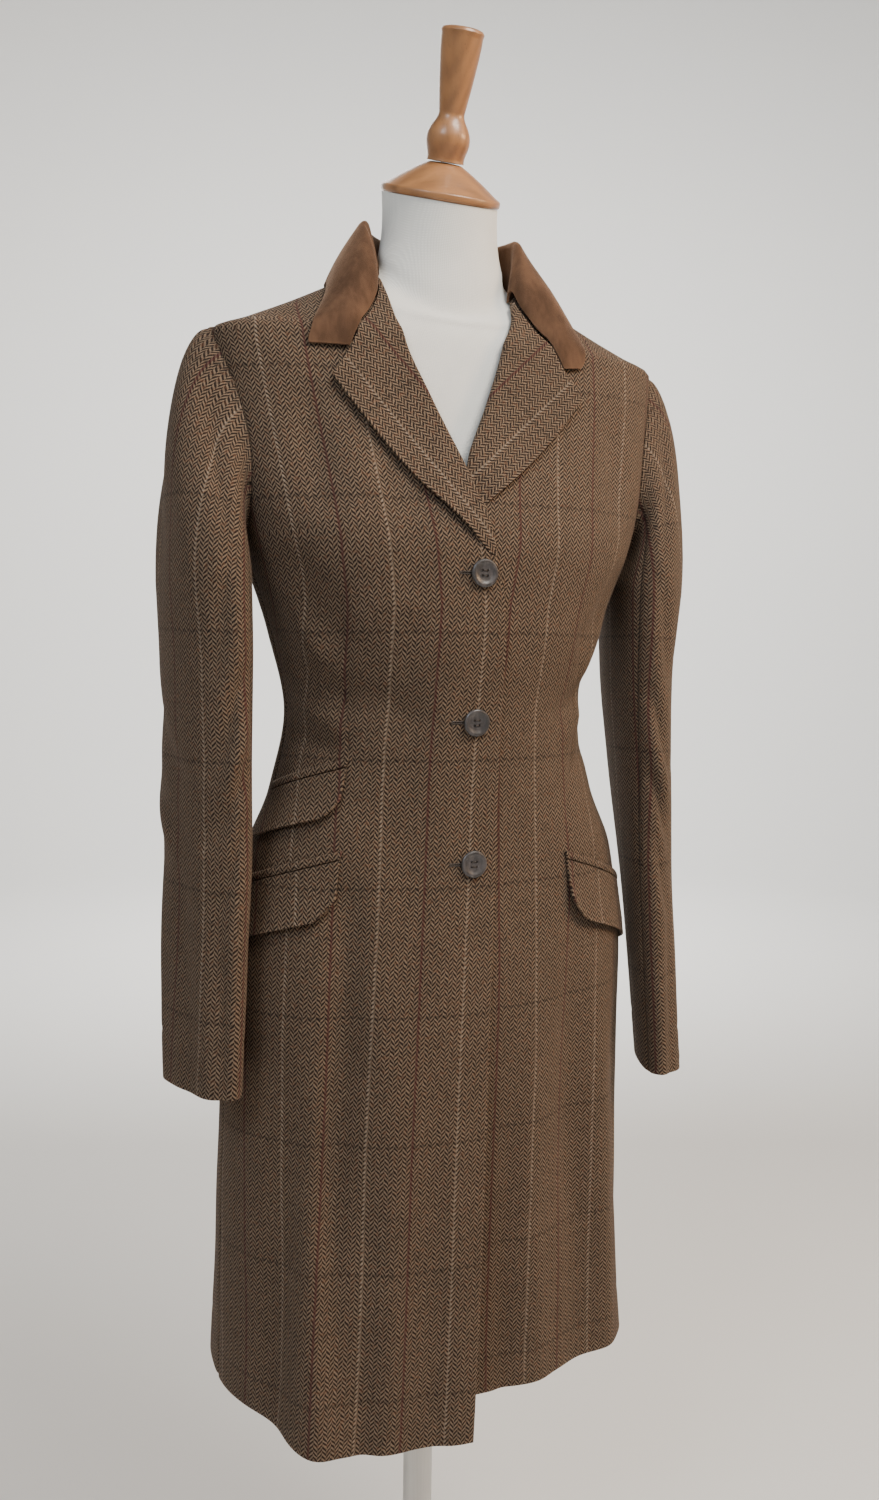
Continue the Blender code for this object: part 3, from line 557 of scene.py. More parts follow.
class CoatStudio(bpy.types.PropertyGroup):
    """Light, floor and camera"""

    key: power_setting("Key light", "Power of the large light above the front", 76.0)
    fill: power_setting("Warm light", "Power of the warm light on the wearer's left", 34.0)
    back: power_setting("Back light", "Power of the light behind the coat", 48.0)
    cool: power_setting("Cool light", "Power of the faint light on the wearer's right", 26.0)
    backdrop: power_setting("Backdrop light", "Power of the light on the floor's curved surround", 300.0)
    surround: FloatProperty(
        name="Surround", description="Strength of the even light from all round",
        default=0.12, min=0.0, max=4.0,
    )
    floor: colour_setting("Floor", "Colour of the floor and its curved surround", (0.74, 0.735, 0.72))
    lens: FloatProperty(
        name="Lens", description="Focal length on a 36 mm long side",
        default=27.2, min=10.0, max=200.0, unit="CAMERA",
    )
    camera_at: FloatVectorProperty(
        name="Camera", description="Place of the camera",
        default=(-0.3736, -0.9708, 1.121), subtype="TRANSLATION", unit="LENGTH",
    )
    camera_turn: angle_setting("Camera turn", "Angle of the view from straight ahead", -21.7)
    camera_pitch: angle_setting("Camera pitch", "Angle of the view below the level", 5.5)
    camera_roll: angle_setting("Camera roll", "Tilt of the picture", 0.8)


# Tables and rings

def eased(table, column, keys):
    """Read a column of a table at any keys, smoothly and without overshoot."""
    rows = np.array(table, dtype=float)
    knots, values = rows[:, 0], rows[:, column]
    steps = np.diff(knots)
    rises = np.diff(values) / steps
    same_way = rises[:-1] * rises[1:] > 0.0
    total = np.where(same_way, rises[:-1] + rises[1:], 1.0)
    inner = np.where(same_way, 2.0 * rises[:-1] * rises[1:] / total, 0.0)
    slopes = np.concatenate((rises[:1], inner, rises[-1:]))
    keys = np.clip(keys, knots[0], knots[-1])
    at = np.clip(np.searchsorted(knots, keys) - 1, 0, len(steps) - 1)
    t = (keys - knots[at]) / steps[at]
    return bridge(values[at], slopes[at] * steps[at], values[at + 1], slopes[at + 1] * steps[at], t)


def bridge(start, leave, end, arrive, t):
    """Curve from a start to an end that leaves and arrives with the given slopes."""
    return (
        start * ((1 + 2 * t) * (1 - t) ** 2) + leave * (t * (1 - t) ** 2)
        + end * (t * t * (3 - 2 * t)) + arrive * (t * t * (t - 1))
    )


def bow(a, b, c, d, t):
    """Curve from b to c, with a and d as the points before and after them."""
    return 0.5 * (
        2 * b + (c - a) * t + (2 * a - 5 * b + 4 * c - d) * t ** 2 + (3 * b - a - 3 * c + d) * t ** 3
    )


def bell(off, spread):
    """Soft swell, 1 in its middle."""
    return np.exp(-((off / spread) ** 2))


def step_between(low, high, value):
    """Rise from 0 to 1 between two values, softly at both ends."""
    t = np.clip((value - low) / (high - low), 0.0, 1.0)
    return t * t * (3 - 2 * t)


def unit(vectors):
    return vectors / np.maximum(np.linalg.norm(vectors, axis=-1, keepdims=True), 1e-12)


def mix(a, b, t):
    return (a[0] + (b[0] - a[0]) * t, a[1] + (b[1] - a[1]) * t)


def section(name, below):
    return eased(SECTIONS, SECTION_NAMES.index(name), below)


def power(value, exponent):
    return np.copysign(np.abs(value) ** exponent, value)


def flute(angle, below):
    """Swell of the skirt at an angle, from nothing at the hip to its full depth at the hem."""
    swell = 0.0
    for middle, spread, depth in FLUTES:
        away = (np.degrees(angle) - middle + 180.0) % 360.0 - 180.0
        swell = swell + depth * bell(away, spread)
    return swell * (np.maximum(below - FLUTE_TOP, 0.0) / (HEM - FLUTE_TOP)) ** FLUTE_CURVE


def ring_point(angle, below):
    """Inside of the coat at an angle from the middle front towards the wearer's left."""
    angle, below = np.broadcast_arrays(np.asarray(angle, float), np.asarray(below, float))
    across, along = np.sin(angle), np.cos(angle)
    shape = 2.0 / section("square", below)
    swell = flute(angle, below)
    deep = np.where(along > 0.0, section("front", below), section("back", below))
    x = section("lean", below) + (section("half_width", below) + swell) * power(across, shape)
    y = -AXIS_FORWARD - (deep + swell) * power(along, shape)
    z = NAPE - below - section("front_drop", below) * np.maximum(along, 0.0) ** DROP_CURVE
    return np.stack((x, y, z), axis=-1)


def ring_normal(angle, below):
    aside, down = NORMAL_STEPS
    turn = ring_point(angle + aside, below) - ring_point(angle - aside, below)
    rise = ring_point(angle, below - down) - ring_point(angle, below + down)
    return unit(np.cross(turn, rise))


def coat_point(side, angle, below, depth):
    """A point over the coat's inside; side is 1 for the wearer's left and -1 for the right."""
    at = side * angle
    return ring_point(at, below) + ring_normal(at, below) * np.asarray(depth)[..., None]


def angle_across(side, x, below):
    """Angle at a distance across from the middle of the front, towards that side."""
    x = x - side * section("lean", below)
    share = np.minimum(np.abs(x) / section("half_width", below), 1.0)
    return np.copysign(np.arcsin(share ** (section("square", below) / 2)), x)


def angle_along(y, below):
    deep = np.where(y < 0.0, section("front", below), section("back", below))
    angle = np.arccos(np.minimum(np.abs(y) / deep, 1.0) ** (section("square", below) / 2))
    return np.where(y < 0.0, angle, math.pi - angle)


def arc_across(side, angle, below, start=0.0, steps=32):
    """Distance round the coat from a starting angle, positive towards the side."""
    last = ring_point(side * start + 0.0 * angle, below)
    length = np.zeros(np.shape(angle))
    for step in range(1, steps + 1):
        here = ring_point(side * (start + (angle - start) * step / steps), below)
        length = length + np.linalg.norm(here - last, axis=-1)
        last = here
    return np.copysign(length, angle - start)


def edge_across(side, below):
    return eased(FRONT_EDGE, 1 if side < 0 else 2, below)


def front_lift(side, x, below):
    """How far a front lies off the ring: the right one laps over the left and kicks out at the hem."""
    near_edge = 1.0 - step_between(0.0, KICK_WIDE, x)
    low = step_between(KICK_TOP, HEM, below)
    if side > 0:
        return LEFT_TUCK * low * near_edge
    lap = LAP_LIFT * (1.0 - step_between(LAP_FULL, LAP_NONE, x))
    return lap + RIGHT_KICK * low * near_edge


# Creases and flat cuts

def creased(table, across, down, strength):
    """Depth of listed creases: soft troughs and ridges that fade out at both ends."""
    depth = np.zeros(np.broadcast(across, down).shape)
    waver, turns, start = CREASE_WAVER
    for from_across, from_below, to_across, to_below, wide, deep in table:
        run = np.array((to_across - from_across, to_below - from_below))
        length = math.hypot(*run)
        t = ((across - from_across) * run[0] + (down - from_below) * run[1]) / length ** 2
        off = ((across - from_across) * run[1] - (down - from_below) * run[0]) / length
        off = off + waver * wide * np.sin(turns * t + start * wide)
        fade = np.sin(math.pi * np.clip(t, 0.0, 1.0)) ** CREASE_FADE
        depth = depth + deep * fade * bell(off, wide)
    return depth * strength


def uneven(across, down):
    """Slight waviness of wool cloth that has been worn and pressed."""
    return UNEVEN * sum(share * np.sin(a * across + d * down + start) for share, a, d, start in WAVES)


def lengths_along(points, axis):
    """Running length along the rows (axis 1) or the columns (axis 0) of a grid of points."""
    steps = np.linalg.norm(np.diff(points, axis=axis), axis=-1)
    first = np.zeros_like(steps[:, :1] if axis == 1 else steps[:1])
    return np.concatenate((first, np.cumsum(steps, axis=axis)), axis=axis)


def flattened(points, flat, rounds=PANEL_ROUNDS):
    """Lay a grid of cloth out flat: its threads keep their lengths as nearly as they can."""
    whole, low, high = slice(None), slice(None, -1), slice(1, None)
    links = []
    for a, b in (((whole, low), (whole, high)), ((low, whole), (high, whole)),
                 ((low, low), (high, high)), ((low, high), (high, low))):
        links.append((a, b, np.linalg.norm(points[b] - points[a], axis=-1)))
    flat = flat.copy()
    for _ in range(rounds):
        move = np.zeros_like(flat)
        for a, b, rest in links:
            way = flat[b] - flat[a]
            length = np.maximum(np.linalg.norm(way, axis=-1), 1e-9)
            pull = way * (THREAD_PULL * (1.0 - rest / length))[..., None]
            move[a] += pull
            move[b] -= pull
        flat += move
    return flat


def realigned(flat, first, where):
    """Turn and shift a flat cut so that the chosen part of it lies as in the first layout."""
    a, b = flat[where], first[where]
    middle_a, middle_b = a.mean(axis=0), b.mean(axis=0)
    u, _, v = np.linalg.svd((a - middle_a).T @ (b - middle_b))
    keep = np.diag((1.0, np.sign(np.linalg.det(u @ v))))
    return (flat - middle_a) @ (u @ keep @ v) + middle_b


def cut_size(flat):
    """Width, length and area of a flat cut."""
    a, b, c, d = flat[:-1, :-1], flat[:-1, 1:], flat[1:, 1:], flat[1:, :-1]
    one, two = c - a, d - b
    area = 0.5 * np.abs(one[..., 0] * two[..., 1] - one[..., 1] * two[..., 0]).sum()
    width, length = np.ptp(flat.reshape(-1, 2), axis=0)
    return (float(width), float(length)), float(min(area, width * length))


def distance_to_line(points, across, down):
    """Distance from every place of a cloth to a line through a few points."""
    best = np.full(np.broadcast(across, down).shape, FAR)
    for (x0, y0), (x1, y1) in zip(points[:-1], points[1:]):
        run = np.array((x1 - x0, y1 - y0))
        t = np.clip(((across - x0) * run[0] + (down - y0) * run[1]) / (run @ run), 0.0, 1.0)
        best = np.minimum(best, np.hypot(across - x0 - t * run[0], down - y0 - t * run[1]))
    return best


def grid_normals(points):
    down, across = np.gradient(points, axis=(0, 1))
    return unit(np.cross(across, down))


# Mesh making

def smooth_object(name, bm, material):
    mesh = bpy.data.meshes.new(name)
    bm.to_mesh(mesh)
    bm.free()
    mesh.shade_smooth()
    mesh.materials.append(material)
    piece = bpy.data.objects.new(name, mesh)
    bpy.context.scene.collection.objects.link(piece)
    return piece


def mesh_object(name, bm, material):
    """Object that goes with the part."""
    piece = smooth_object(name, bm, material)
    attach(piece, "root")
    return piece


def stand_for(piece, node):
    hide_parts(node)
    return piece


def placed_grid(points):
    """Bmesh grid carried to a table of points, rows first."""
    rows, columns = points.shape[:2]
    bm = bmesh.new()
    bmesh.ops.create_grid(bm, x_segments=columns - 1, y_segments=rows - 1, size=0.5)
    places = []
    for vert in bm.verts:
        place = (round((vert.co.y + 0.5) * (rows - 1)), round((vert.co.x + 0.5) * (columns - 1)))
        places.append(place)
        vert.co = points[place]
    return bm, places


def bevel(piece, name, width, segments, degrees):
    rounding = piece.modifiers.new(name, "BEVEL")
    rounding.width = width
    rounding.segments = segments
    rounding.limit_method = "ANGLE"
    rounding.angle_limit = math.radians(degrees)


def cloth_sheet(
        context, name, points, flat, outward, material, wall=None, offset=-1.0, seam=None, edge=None):
    """Sheet of cloth on a grid of points, with its flat cut as UV map and its seam and edge distances, which
    the shaders use for painted shade along seams and a painted highlight along edges.
    """
    bm, places = placed_grid(points)
    cut = bm.loops.layers.uv.new("cut")
    seam_layer = bm.verts.layers.float.new("seam")
    edge_layer = bm.verts.layers.float.new("edge")
    for vert, place in zip(bm.verts, places):
        vert[seam_layer] = FAR if seam is None else seam[place]
        vert[edge_layer] = FAR if edge is None else edge[place]
        for loop in vert.link_loops:
            loop[cut].uv = flat[place]
    bm.normal_update()
    if sum((face.normal.dot(outward) for face in bm.faces), 0.0) < 0.0:
        bmesh.ops.reverse_faces(bm, faces=bm.faces[:])
    piece = mesh_object(name, bm, material)
    cloth = context.scene.coat_cloth
    thick = piece.modifiers.new("Thickness", "SOLIDIFY")
    thick.thickness = cloth.wall if wall is None else wall
    thick.offset = offset
    bevel(piece, "Turned edge", cloth.edge_round, 2, 55.0)
    return piece


def swept(name, path, radius, material, sides=8):
    """Round thread along a path."""
    path = np.asarray(path, float)
    along = unit(np.gradient(path, axis=0))
    aside = unit(np.cross(along, THREAD_UP))
    upward = np.cross(aside, along)
    turn = np.linspace(0.0, 2.0 * math.pi, sides + 1)
    ring = np.cos(turn)[:, None, None] * aside + np.sin(turn)[:, None, None] * upward
    radius = np.broadcast_to(np.asarray(radius, float), path.shape[:1])
    bm, _ = placed_grid(path + ring * radius[:, None])
    return round_off(name, bm, material)


def round_off(name, bm, material):
    """Close a wrapped grid and turn its faces outwards."""
    bmesh.ops.remove_doubles(bm, verts=bm.verts[:], dist=MERGE)
    bmesh.ops.holes_fill(bm, edges=[edge for edge in bm.edges if edge.is_boundary], sides=0)
    bmesh.ops.recalc_face_normals(bm, faces=bm.faces[:])
    if bm.calc_volume(signed=True) < 0.0:
        bmesh.ops.reverse_faces(bm, faces=bm.faces[:])
    return mesh_object(name, bm, material)


def spun(profile, merge=MERGE):
    """Turn a profile of radius and height pairs about the upright axis."""
    bm = bmesh.new()
    verts = [bm.verts.new((radius, 0.0, height)) for radius, height in profile]
    edges = [bm.edges.new(pair) for pair in zip(verts[:-1], verts[1:])]
    bmesh.ops.spin(
        bm, geom=verts + edges, cent=(0.0, 0.0, 0.0), axis=(0.0, 0.0, 1.0), dvec=(0.0, 0.0, 0.0),
        angle=2.0 * math.pi, steps=TURNED_STEPS, use_merge=True, use_duplicate=False,
    )
    bmesh.ops.remove_doubles(bm, verts=bm.verts[:], dist=merge)
    bmesh.ops.recalc_face_normals(bm, faces=bm.faces[:])
    return bm


def turned(name, profile, material, place=Matrix.Identity(4), soft=0.0006):
    """Turned piece with eased edges, carried to its place."""
    bm = spun(profile)
    bmesh.ops.transform(bm, matrix=place, verts=bm.verts[:])
    piece = mesh_object(name, bm, material)
    bevel(piece, "Eased edge", soft, 3, 32.0)
    return piece


def smooth_profile(points, steps=6):
    """Curve through the points of a turned profile."""
    points = np.asarray(points, float)
    padded = np.concatenate((points[:1], points, points[-1:]))
    t = np.linspace(0.0, 1.0, steps, endpoint=False)[:, None]
    parts = []
    for a, b, c, d in zip(padded[:-3], padded[1:-2], padded[2:-1], padded[3:]):
        parts.append(bow(a, b, c, d, t))
    curve = np.concatenate(parts + [points[-1:]])
    curve[:, 0] = np.maximum(curve[:, 0], 0.0)
    return [tuple(point) for point in curve]


# Shaders

class Value:
    """Shader socket that takes part in Python sums."""

    def __init__(self, finish, socket):
        self.finish = finish
        self.socket = socket

    def sum(self, operation, *terms):
        return self.finish.node("ShaderNodeMath", {"operation": operation}, dict(enumerate(terms)))

    def __add__(self, other):
        return self.sum("ADD", self, other)

    __radd__ = __add__

    def __sub__(self, other):
        return self.sum("SUBTRACT", self, other)

    def __rsub__(self, other):
        return self.sum("SUBTRACT", other, self)

    def __mul__(self, other):
        return self.sum("MULTIPLY", self, other)

    __rmul__ = __mul__


class Finish:
    """Material whose nodes are added one at a time."""

    def __init__(self, name):
        self.material = bpy.data.materials.new(name)
        self.material.use_nodes = True
        self.tree = self.material.node_tree
        self.shader = self.tree.nodes["Principled BSDF"]

    def settle(self, **constants):
        for socket, value in constants.items():
            self.set(self.shader.inputs[socket.replace("_", " ")], value)

    def set(self, socket, value):
        if isinstance(value, Value):
            self.tree.links.new(value.socket, socket)
        elif hasattr(value, "__len__") and len(value) == 3 and socket.type == "RGBA":
            socket.default_value = (*value, 1.0)
        else:
            socket.default_value = value

    def node(self, kind, settings=None, sockets=None, output=0):
        node = self.tree.nodes.new(kind)
        for name, value in (settings or {}).items():
            setattr(node, name, value)
        for name, value in (sockets or {}).items():
            self.set(node.inputs[name], value)
        return Value(self, node.outputs[output])

    def place(self):
        return self.node("ShaderNodeTexCoord", None, None, "Object")

    def split(self, vector):
        return [self.node("ShaderNodeSeparateXYZ", None, {0: vector}, axis) for axis in ("X", "Y", "Z")]

    def noise(self, vector, scale, detail=2.0, roughness=0.5):
        sockets = {"Vector": vector, "Scale": scale, "Detail": detail, "Roughness": roughness}
        return self.node("ShaderNodeTexNoise", None, sockets)

    def stretched(self, vector, scale):
        return self.node("ShaderNodeVectorMath", {"operation": "MULTIPLY"}, {0: vector, 1: scale})

    def soft_step(self, low, high, value):
        sockets = {"Value": value, "From Min": low, "From Max": high}
        return self.node("ShaderNodeMapRange", {"interpolation_type": "SMOOTHSTEP"}, sockets)

    def blend(self, share, one, two, mode="MIX"):
        settings = {"data_type": "RGBA", "blend_type": mode}
        return self.node("ShaderNodeMix", settings, {0: share, 6: one, 7: two}, 2)

    def wave(self, value, length):
        """Sine of a distance, from 0 to 1, that repeats after a length."""
        turns = value * (2.0 * math.pi / length)
        return turns.sum("SINE", turns) * 0.5 + 0.5

    def near_line(self, value, repeat, half, soft):
        """Mask of lines that repeat: 1 on a line and 0 beyond its half width."""
        off = value.sum("PINGPONG", value, repeat / 2)
        return 1.0 - self.soft_step(half, half + soft, off)

    def distance(self, name):
        return self.node("ShaderNodeAttribute", {"attribute_name": name}, None, "Fac")

    def done(self, colour, roughness=None, height=None, depth=0.0005, strength=0.6):
        self.set(self.shader.inputs["Base Color"], colour)
        if roughness is not None:
            self.set(self.shader.inputs["Roughness"], roughness)
        if height is not None:
            sockets = {"Height": height, "Distance": depth, "Strength": strength}
            self.set(self.shader.inputs["Normal"], self.node("ShaderNodeBump", None, sockets))
        return self.material


def scaled(colour, share):
    return tuple(min(1.0, share * part) for part in colour)


def shared(name):
    """Make a material at its first use and hand out the same one from then on."""
    def wrap(make):
        def get(context):
            return bpy.data.materials.get(name) or make(context, Finish(name))
        return get
    return wrap


@shared("herringbone tweed")
def tweed(context, finish):
    """Brown herringbone wool with red, cream and dark lines, napped, with painted shade along its seams and a
    painted highlight along its edges.
    """
    weave = context.scene.coat_weave
    finish.settle(
        Roughness=0.92, Sheen_Weight=0.10, Sheen_Roughness=0.45, Sheen_Tint=(0.62, 0.47, 0.36),
        Specular_IOR_Level=0.18,
    )
    cut = finish.node("ShaderNodeUVMap", {"uv_map": "cut"})
    across, down, _ = finish.split(cut)
    fibre = finish.noise(cut, 1300.0, 3.0, 0.65)
    fleck = finish.noise(finish.stretched(cut, (1.0, 0.8, 1.0)), 330.0, 2.0, 0.6)
    cloud = finish.noise(cut, 9.0, 3.0, 0.55)
    drift = finish.noise(cut, 130.0, 1.0)
    across_drift = across + (drift - 0.5) * 0.0010
    slant = across_drift.sum("PINGPONG", across_drift, weave.column)
    rise = slant * (weave.pitch / weave.column)
    other = finish.soft_step(0.47, 0.53, finish.wave(across_drift, 2.0 * weave.column))
    broken = rise + other * (weave.pitch / 2)
    twill = finish.wave(down + broken + (fibre - 0.5) * 0.0017 + (drift - 0.5) * 0.0020, weave.pitch)
    floats = finish.soft_step(0.28, 0.80, twill)
    ends = finish.wave(across_drift, weave.column / 3.0)
    yarn = floats * (1.90 * fleck - 0.02) + (fibre - 0.5) * 0.62
    colour = finish.blend(yarn, weave.dark, weave.light)
    rust = finish.soft_step(0.52, 0.72, finish.noise(cut, 260.0, 2.0))
    colour = finish.blend(0.30 * rust, colour, (0.150, 0.058, 0.028))
    level = finish.near_line(down + (drift - 0.5) * 0.0006, weave.check_down, 0.0007, 0.0010)
    dots = finish.soft_step(0.35, 0.65, finish.wave(across_drift, 2.0 * weave.column))
    colour = finish.blend(level * (0.10 + 0.36 * dots), colour, weave.black)
    red = finish.near_line(across_drift + weave.check_across / 2, weave.check_across, 0.0006, 0.0008)
    colour = finish.blend(red * (0.42 + 0.34 * fleck), colour, weave.red)
    cream = finish.near_line(across_drift, weave.check_across, 0.0005, 0.0009)
    dashes = finish.soft_step(0.34, 0.66, finish.wave(down + rise * 0.5, weave.pitch))
    colour = finish.blend(cream * dashes * (0.04 + 0.56 * fleck), colour, weave.cream)
    shade = 0.70 + 0.28 * cloud + 0.32 * finish.noise(cut, 55.0, 2.0)
    # Painted shade: the cloth is darkened by about a third along seams, darts, the armhole and the welts'
    # sewn edges, where shade falls; the same mask also sinks the bump
    seam = 1.0 - finish.soft_step(0.0002, 0.0012, finish.distance("seam"))
    # Painted highlight: the cloth is made up to a sixth lighter near its free edges, hems and cuffs
    edge = 1.0 - finish.soft_step(0.0004, 0.0030, finish.distance("edge"))
    # Random tone from the noise, times the painted seam shade and the painted edge highlight
    shade = shade * (1.0 - 0.34 * seam) * (1.0 + 0.16 * edge)
    tint = finish.node("ShaderNodeCombineColor", None, {0: shade, 1: shade, 2: shade})
    colour = finish.blend(1.0, colour, tint, "MULTIPLY")
    height = floats * (0.55 + 0.45 * ends) + 0.5 * fibre - 1.6 * seam
    roughness = 0.86 + 0.12 * fibre
    return finish.done(colour, roughness, height, 0.0007, 0.75)


@shared("cotton velvet")
def velvet(context, finish):
    """Short brown pile, brushed lighter and darker in patches, with a painted highlight along its edges."""
    finish.settle(
        Sheen_Weight=0.55, Sheen_Roughness=0.32, Sheen_Tint=(0.72, 0.50, 0.36), Specular_IOR_Level=0.12,
    )
    at = finish.place()
    brushed = finish.noise(finish.stretched(at, (1.0, 1.0, 0.6)), 38.0, 3.0, 0.55)
    pile = finish.noise(at, 1500.0, 2.0, 0.7)
    strokes = finish.noise(finish.stretched(at, (1.6, 1.6, 0.5)), 130.0, 2.0)
    colour = context.scene.coat_trim.velvet
    share = finish.soft_step(0.30, 0.72, brushed * 0.7 + strokes * 0.3) * 0.8 + (pile - 0.5) * 0.5
    # Painted highlight: the velvet is lighter near the collar's edges
    edge = 1.0 - finish.soft_step(0.0003, 0.0026, finish.distance("edge"))
    tone = finish.blend(share + 0.25 * edge, scaled(colour, 0.55), scaled(colour, 1.35))
    return finish.done(tone, 0.78 + 0.2 * pile, pile + 0.6 * strokes, 0.0005, 0.5)


@shared("polished horn")
def horn(context, finish):
    """Dark polished horn with faint streaks."""
    finish.settle(Coat_Roughness=0.22, IOR=1.54)
    at = finish.place()
    streak = finish.noise(finish.stretched(at, (1.0, 1.0, 0.35)), 210.0, 4.0, 0.6)
    speck = finish.noise(at, 1400.0, 2.0)
    colour = context.scene.coat_trim.horn
    streaks = finish.soft_step(0.38, 0.70, streak)
    tone = finish.blend(streaks, scaled(colour, 0.7), scaled(colour, 1.9))
    finish.set(finish.shader.inputs["Coat Weight"], 0.25 + 0.2 * streak)
    return finish.done(tone, 0.34 + 0.16 * speck, speck, 0.0002, 0.25)


@shared("twisted thread")
def thread(context, finish):
    """Twisted sewing thread."""
    finish.settle(Sheen_Weight=0.3, Sheen_Roughness=0.4)
    x, y, z = finish.split(finish.place())
    ply = finish.wave(x + y * 0.4 + z, 0.0011)
    colour = context.scene.coat_trim.thread
    tone = finish.blend(ply, scaled(colour, 0.6), scaled(colour, 1.7))
    return finish.done(tone, 0.7 + 0.15 * ply, ply, 0.0003, 0.5)


@shared("cotton jersey")
def jersey(context, finish):
    """Off-white cotton jersey drawn over the padding, a little soiled."""
    finish.settle(Sheen_Weight=0.15, Sheen_Roughness=0.5, Specular_IOR_Level=0.2)
    at = finish.place()
    x, y, z = finish.split(at)
    drift = finish.noise(at, 60.0, 2.0)
    wales = finish.wave(x + y * 0.8 + (drift - 0.5) * 0.0010, 0.0016)
    courses = finish.wave(z + (drift - 0.5) * 0.0012, 0.0013)
    soil = finish.noise(at, 7.0, 4.0, 0.6)
    fuzz = finish.noise(at, 800.0, 2.0)
    colour = context.scene.coat_trim.jersey
    knit = wales * courses
    tone = finish.blend(finish.soft_step(0.35, 0.75, soil), colour, scaled(colour, 0.86))
    tone = finish.blend(0.16 * (1.0 - knit), tone, scaled(colour, 0.5))
    return finish.done(tone, 0.86 + 0.1 * fuzz, knit + 0.4 * fuzz, 0.0003, 0.45)


def beech(context, name="turned beech", across=UPRIGHT_GRAIN):
    """Varnished beech: fine grain, short dark flecks and a soft shine."""
    if name in bpy.data.materials:
        return bpy.data.materials[name]
    finish = Finish(name)
    finish.settle(Coat_Roughness=0.2, IOR=1.5)
    at = finish.place()
    along = finish.stretched(at, across)
    bend = finish.noise(at, 6.0, 2.0)
    grain = finish.noise(along, 95.0, 4.0, 0.62)
    x, y, _ = finish.split(along)
    rings = finish.wave(x * 1.6 + y + bend * 0.05, 0.017)
    flecks = finish.noise(finish.stretched(at, tuple(part * 1.6 for part in across)), 640.0, 2.0)
    colour = context.scene.coat_trim.beech
    figure = finish.soft_step(0.15, 0.85, grain * 0.78 + rings * 0.22)
    tone = finish.blend(figure, scaled(colour, 0.74), scaled(colour, 1.22))
    spots = finish.soft_step(0.62, 0.72, flecks)
    tone = finish.blend(0.35 * spots, tone, scaled(colour, 0.4))
    finish.set(finish.shader.inputs["Coat Weight"], 0.28 + 0.14 * bend)
    return finish.done(tone, 0.36 + 0.18 * grain, grain - 0.5 * spots, 0.0003, 0.3)


@shared("brushed steel")
def steel(context, finish):
    """Satin steel tube, brushed along its length."""
    finish.settle(Metallic=1.0)
    at = finish.place()
    brushed = finish.noise(finish.stretched(at, (1.0, 1.0, 0.02)), 900.0, 3.0)
    smudge = finish.noise(at, 14.0, 3.0)
    colour = context.scene.coat_trim.steel
    tone = finish.blend(brushed, scaled(colour, 0.8), colour)
    return finish.done(tone, 0.26 + 0.12 * brushed + 0.14 * smudge, brushed, 0.0001, 0.2)


@shared("buttonhole slit")
def slit_shade(context, finish):
    """Painted shade: a near-black finish that stands for the shadow inside a buttonhole."""
    finish.settle(Specular_IOR_Level=0.05)
    fuzz = finish.noise(finish.place(), 900.0, 2.0)
    tone = finish.blend(fuzz, (0.004, 0.003, 0.002), (0.012, 0.008, 0.006))
    return finish.done(tone, 0.95 + 0.04 * fuzz)


@shared("studio floor")
def pale_floor(context, finish):
    """Matt floor that glows a little, to soften the shadows on it."""
    finish.settle(Specular_IOR_Level=0.2, Emission_Color=(1.0, 1.0, 1.0), Emission_Strength=0.02)
    cloud = finish.noise(finish.place(), 3.0, 3.0)
    colour = context.scene.coat_studio.floor
    tone = finish.blend(cloud, scaled(colour, 0.985), colour)
    return finish.done(tone, 0.75 + 0.05 * cloud)


# Fronts and backs

def armhole_y(row, front):
    """Fore and aft place of the armhole's edge at one of its rows, from the armpit up to the tip."""
    phi = math.pi * (1.0 - row / ARMHOLE_ROWS)
    reach = np.sin(phi) * (1.0 - ARMHOLE_SAG * np.cos(phi))
    if front:
        return -ARMHOLE_FRONT * reach - HALF_SEAM
    return ARMHOLE_BACK * reach + HALF_SEAM


def row_below(row, hem):
    skirt_share = np.clip(row / SKIRT_ROWS, 0.0, 1.0)
    skirt = hem + (ARMPIT - hem) * (1.0 - (1.0 - skirt_share) ** ROW_CROWDING)
    phi = math.pi * (1.0 - np.clip((row - SKIRT_ROWS) / ARMHOLE_ROWS, 0.0, 1.0))
    armhole = ARMHOLE_MIDDLE - ARMHOLE_RISE * np.cos(phi)
    share = np.maximum(row - SKIRT_ROWS - ARMHOLE_ROWS, 0.0) / SHOULDER_ROWS
    shoulder = SHOULDER_TIP + (NECKLINE - SHOULDER_TIP) * share
    return np.where(row <= SKIRT_ROWS, skirt, np.where(share > 0.0, shoulder, armhole))


def seam_angle(row, below, front):
    """Angle at which a panel ends on the side seam, the armhole or the shoulder seam."""
    at = np.clip(row - SKIRT_ROWS, 0.0, ARMHOLE_ROWS)
    return angle_along(armhole_y(at, front), below)


def panel_rows():
    """Row numbers of a fine panel: even down the skirt, then round the armhole and up the shoulder."""
    skirt, armhole, shoulder = FINE_ROWS
    even = np.linspace(0.0, 1.0, skirt)
    low = SKIRT_ROWS * (1.0 - (1.0 - even) ** (1.0 / ROW_CROWDING))
    turned_even = np.linspace(0.0, 1.0, armhole)
    level_even = 1.0 - np.arccos(np.clip(2.0 * turned_even - 1.0, -1.0, 1.0)) / math.pi
    mixed = (1.0 - ARMHOLE_LEVEL) * turned_even + ARMHOLE_LEVEL * level_even
    middle = SKIRT_ROWS + ARMHOLE_ROWS * mixed[1:]
    high = SKIRT_ROWS + ARMHOLE_ROWS + np.linspace(0.0, SHOULDER_ROWS, shoulder)[1:]
    return np.concatenate((low, middle, high))


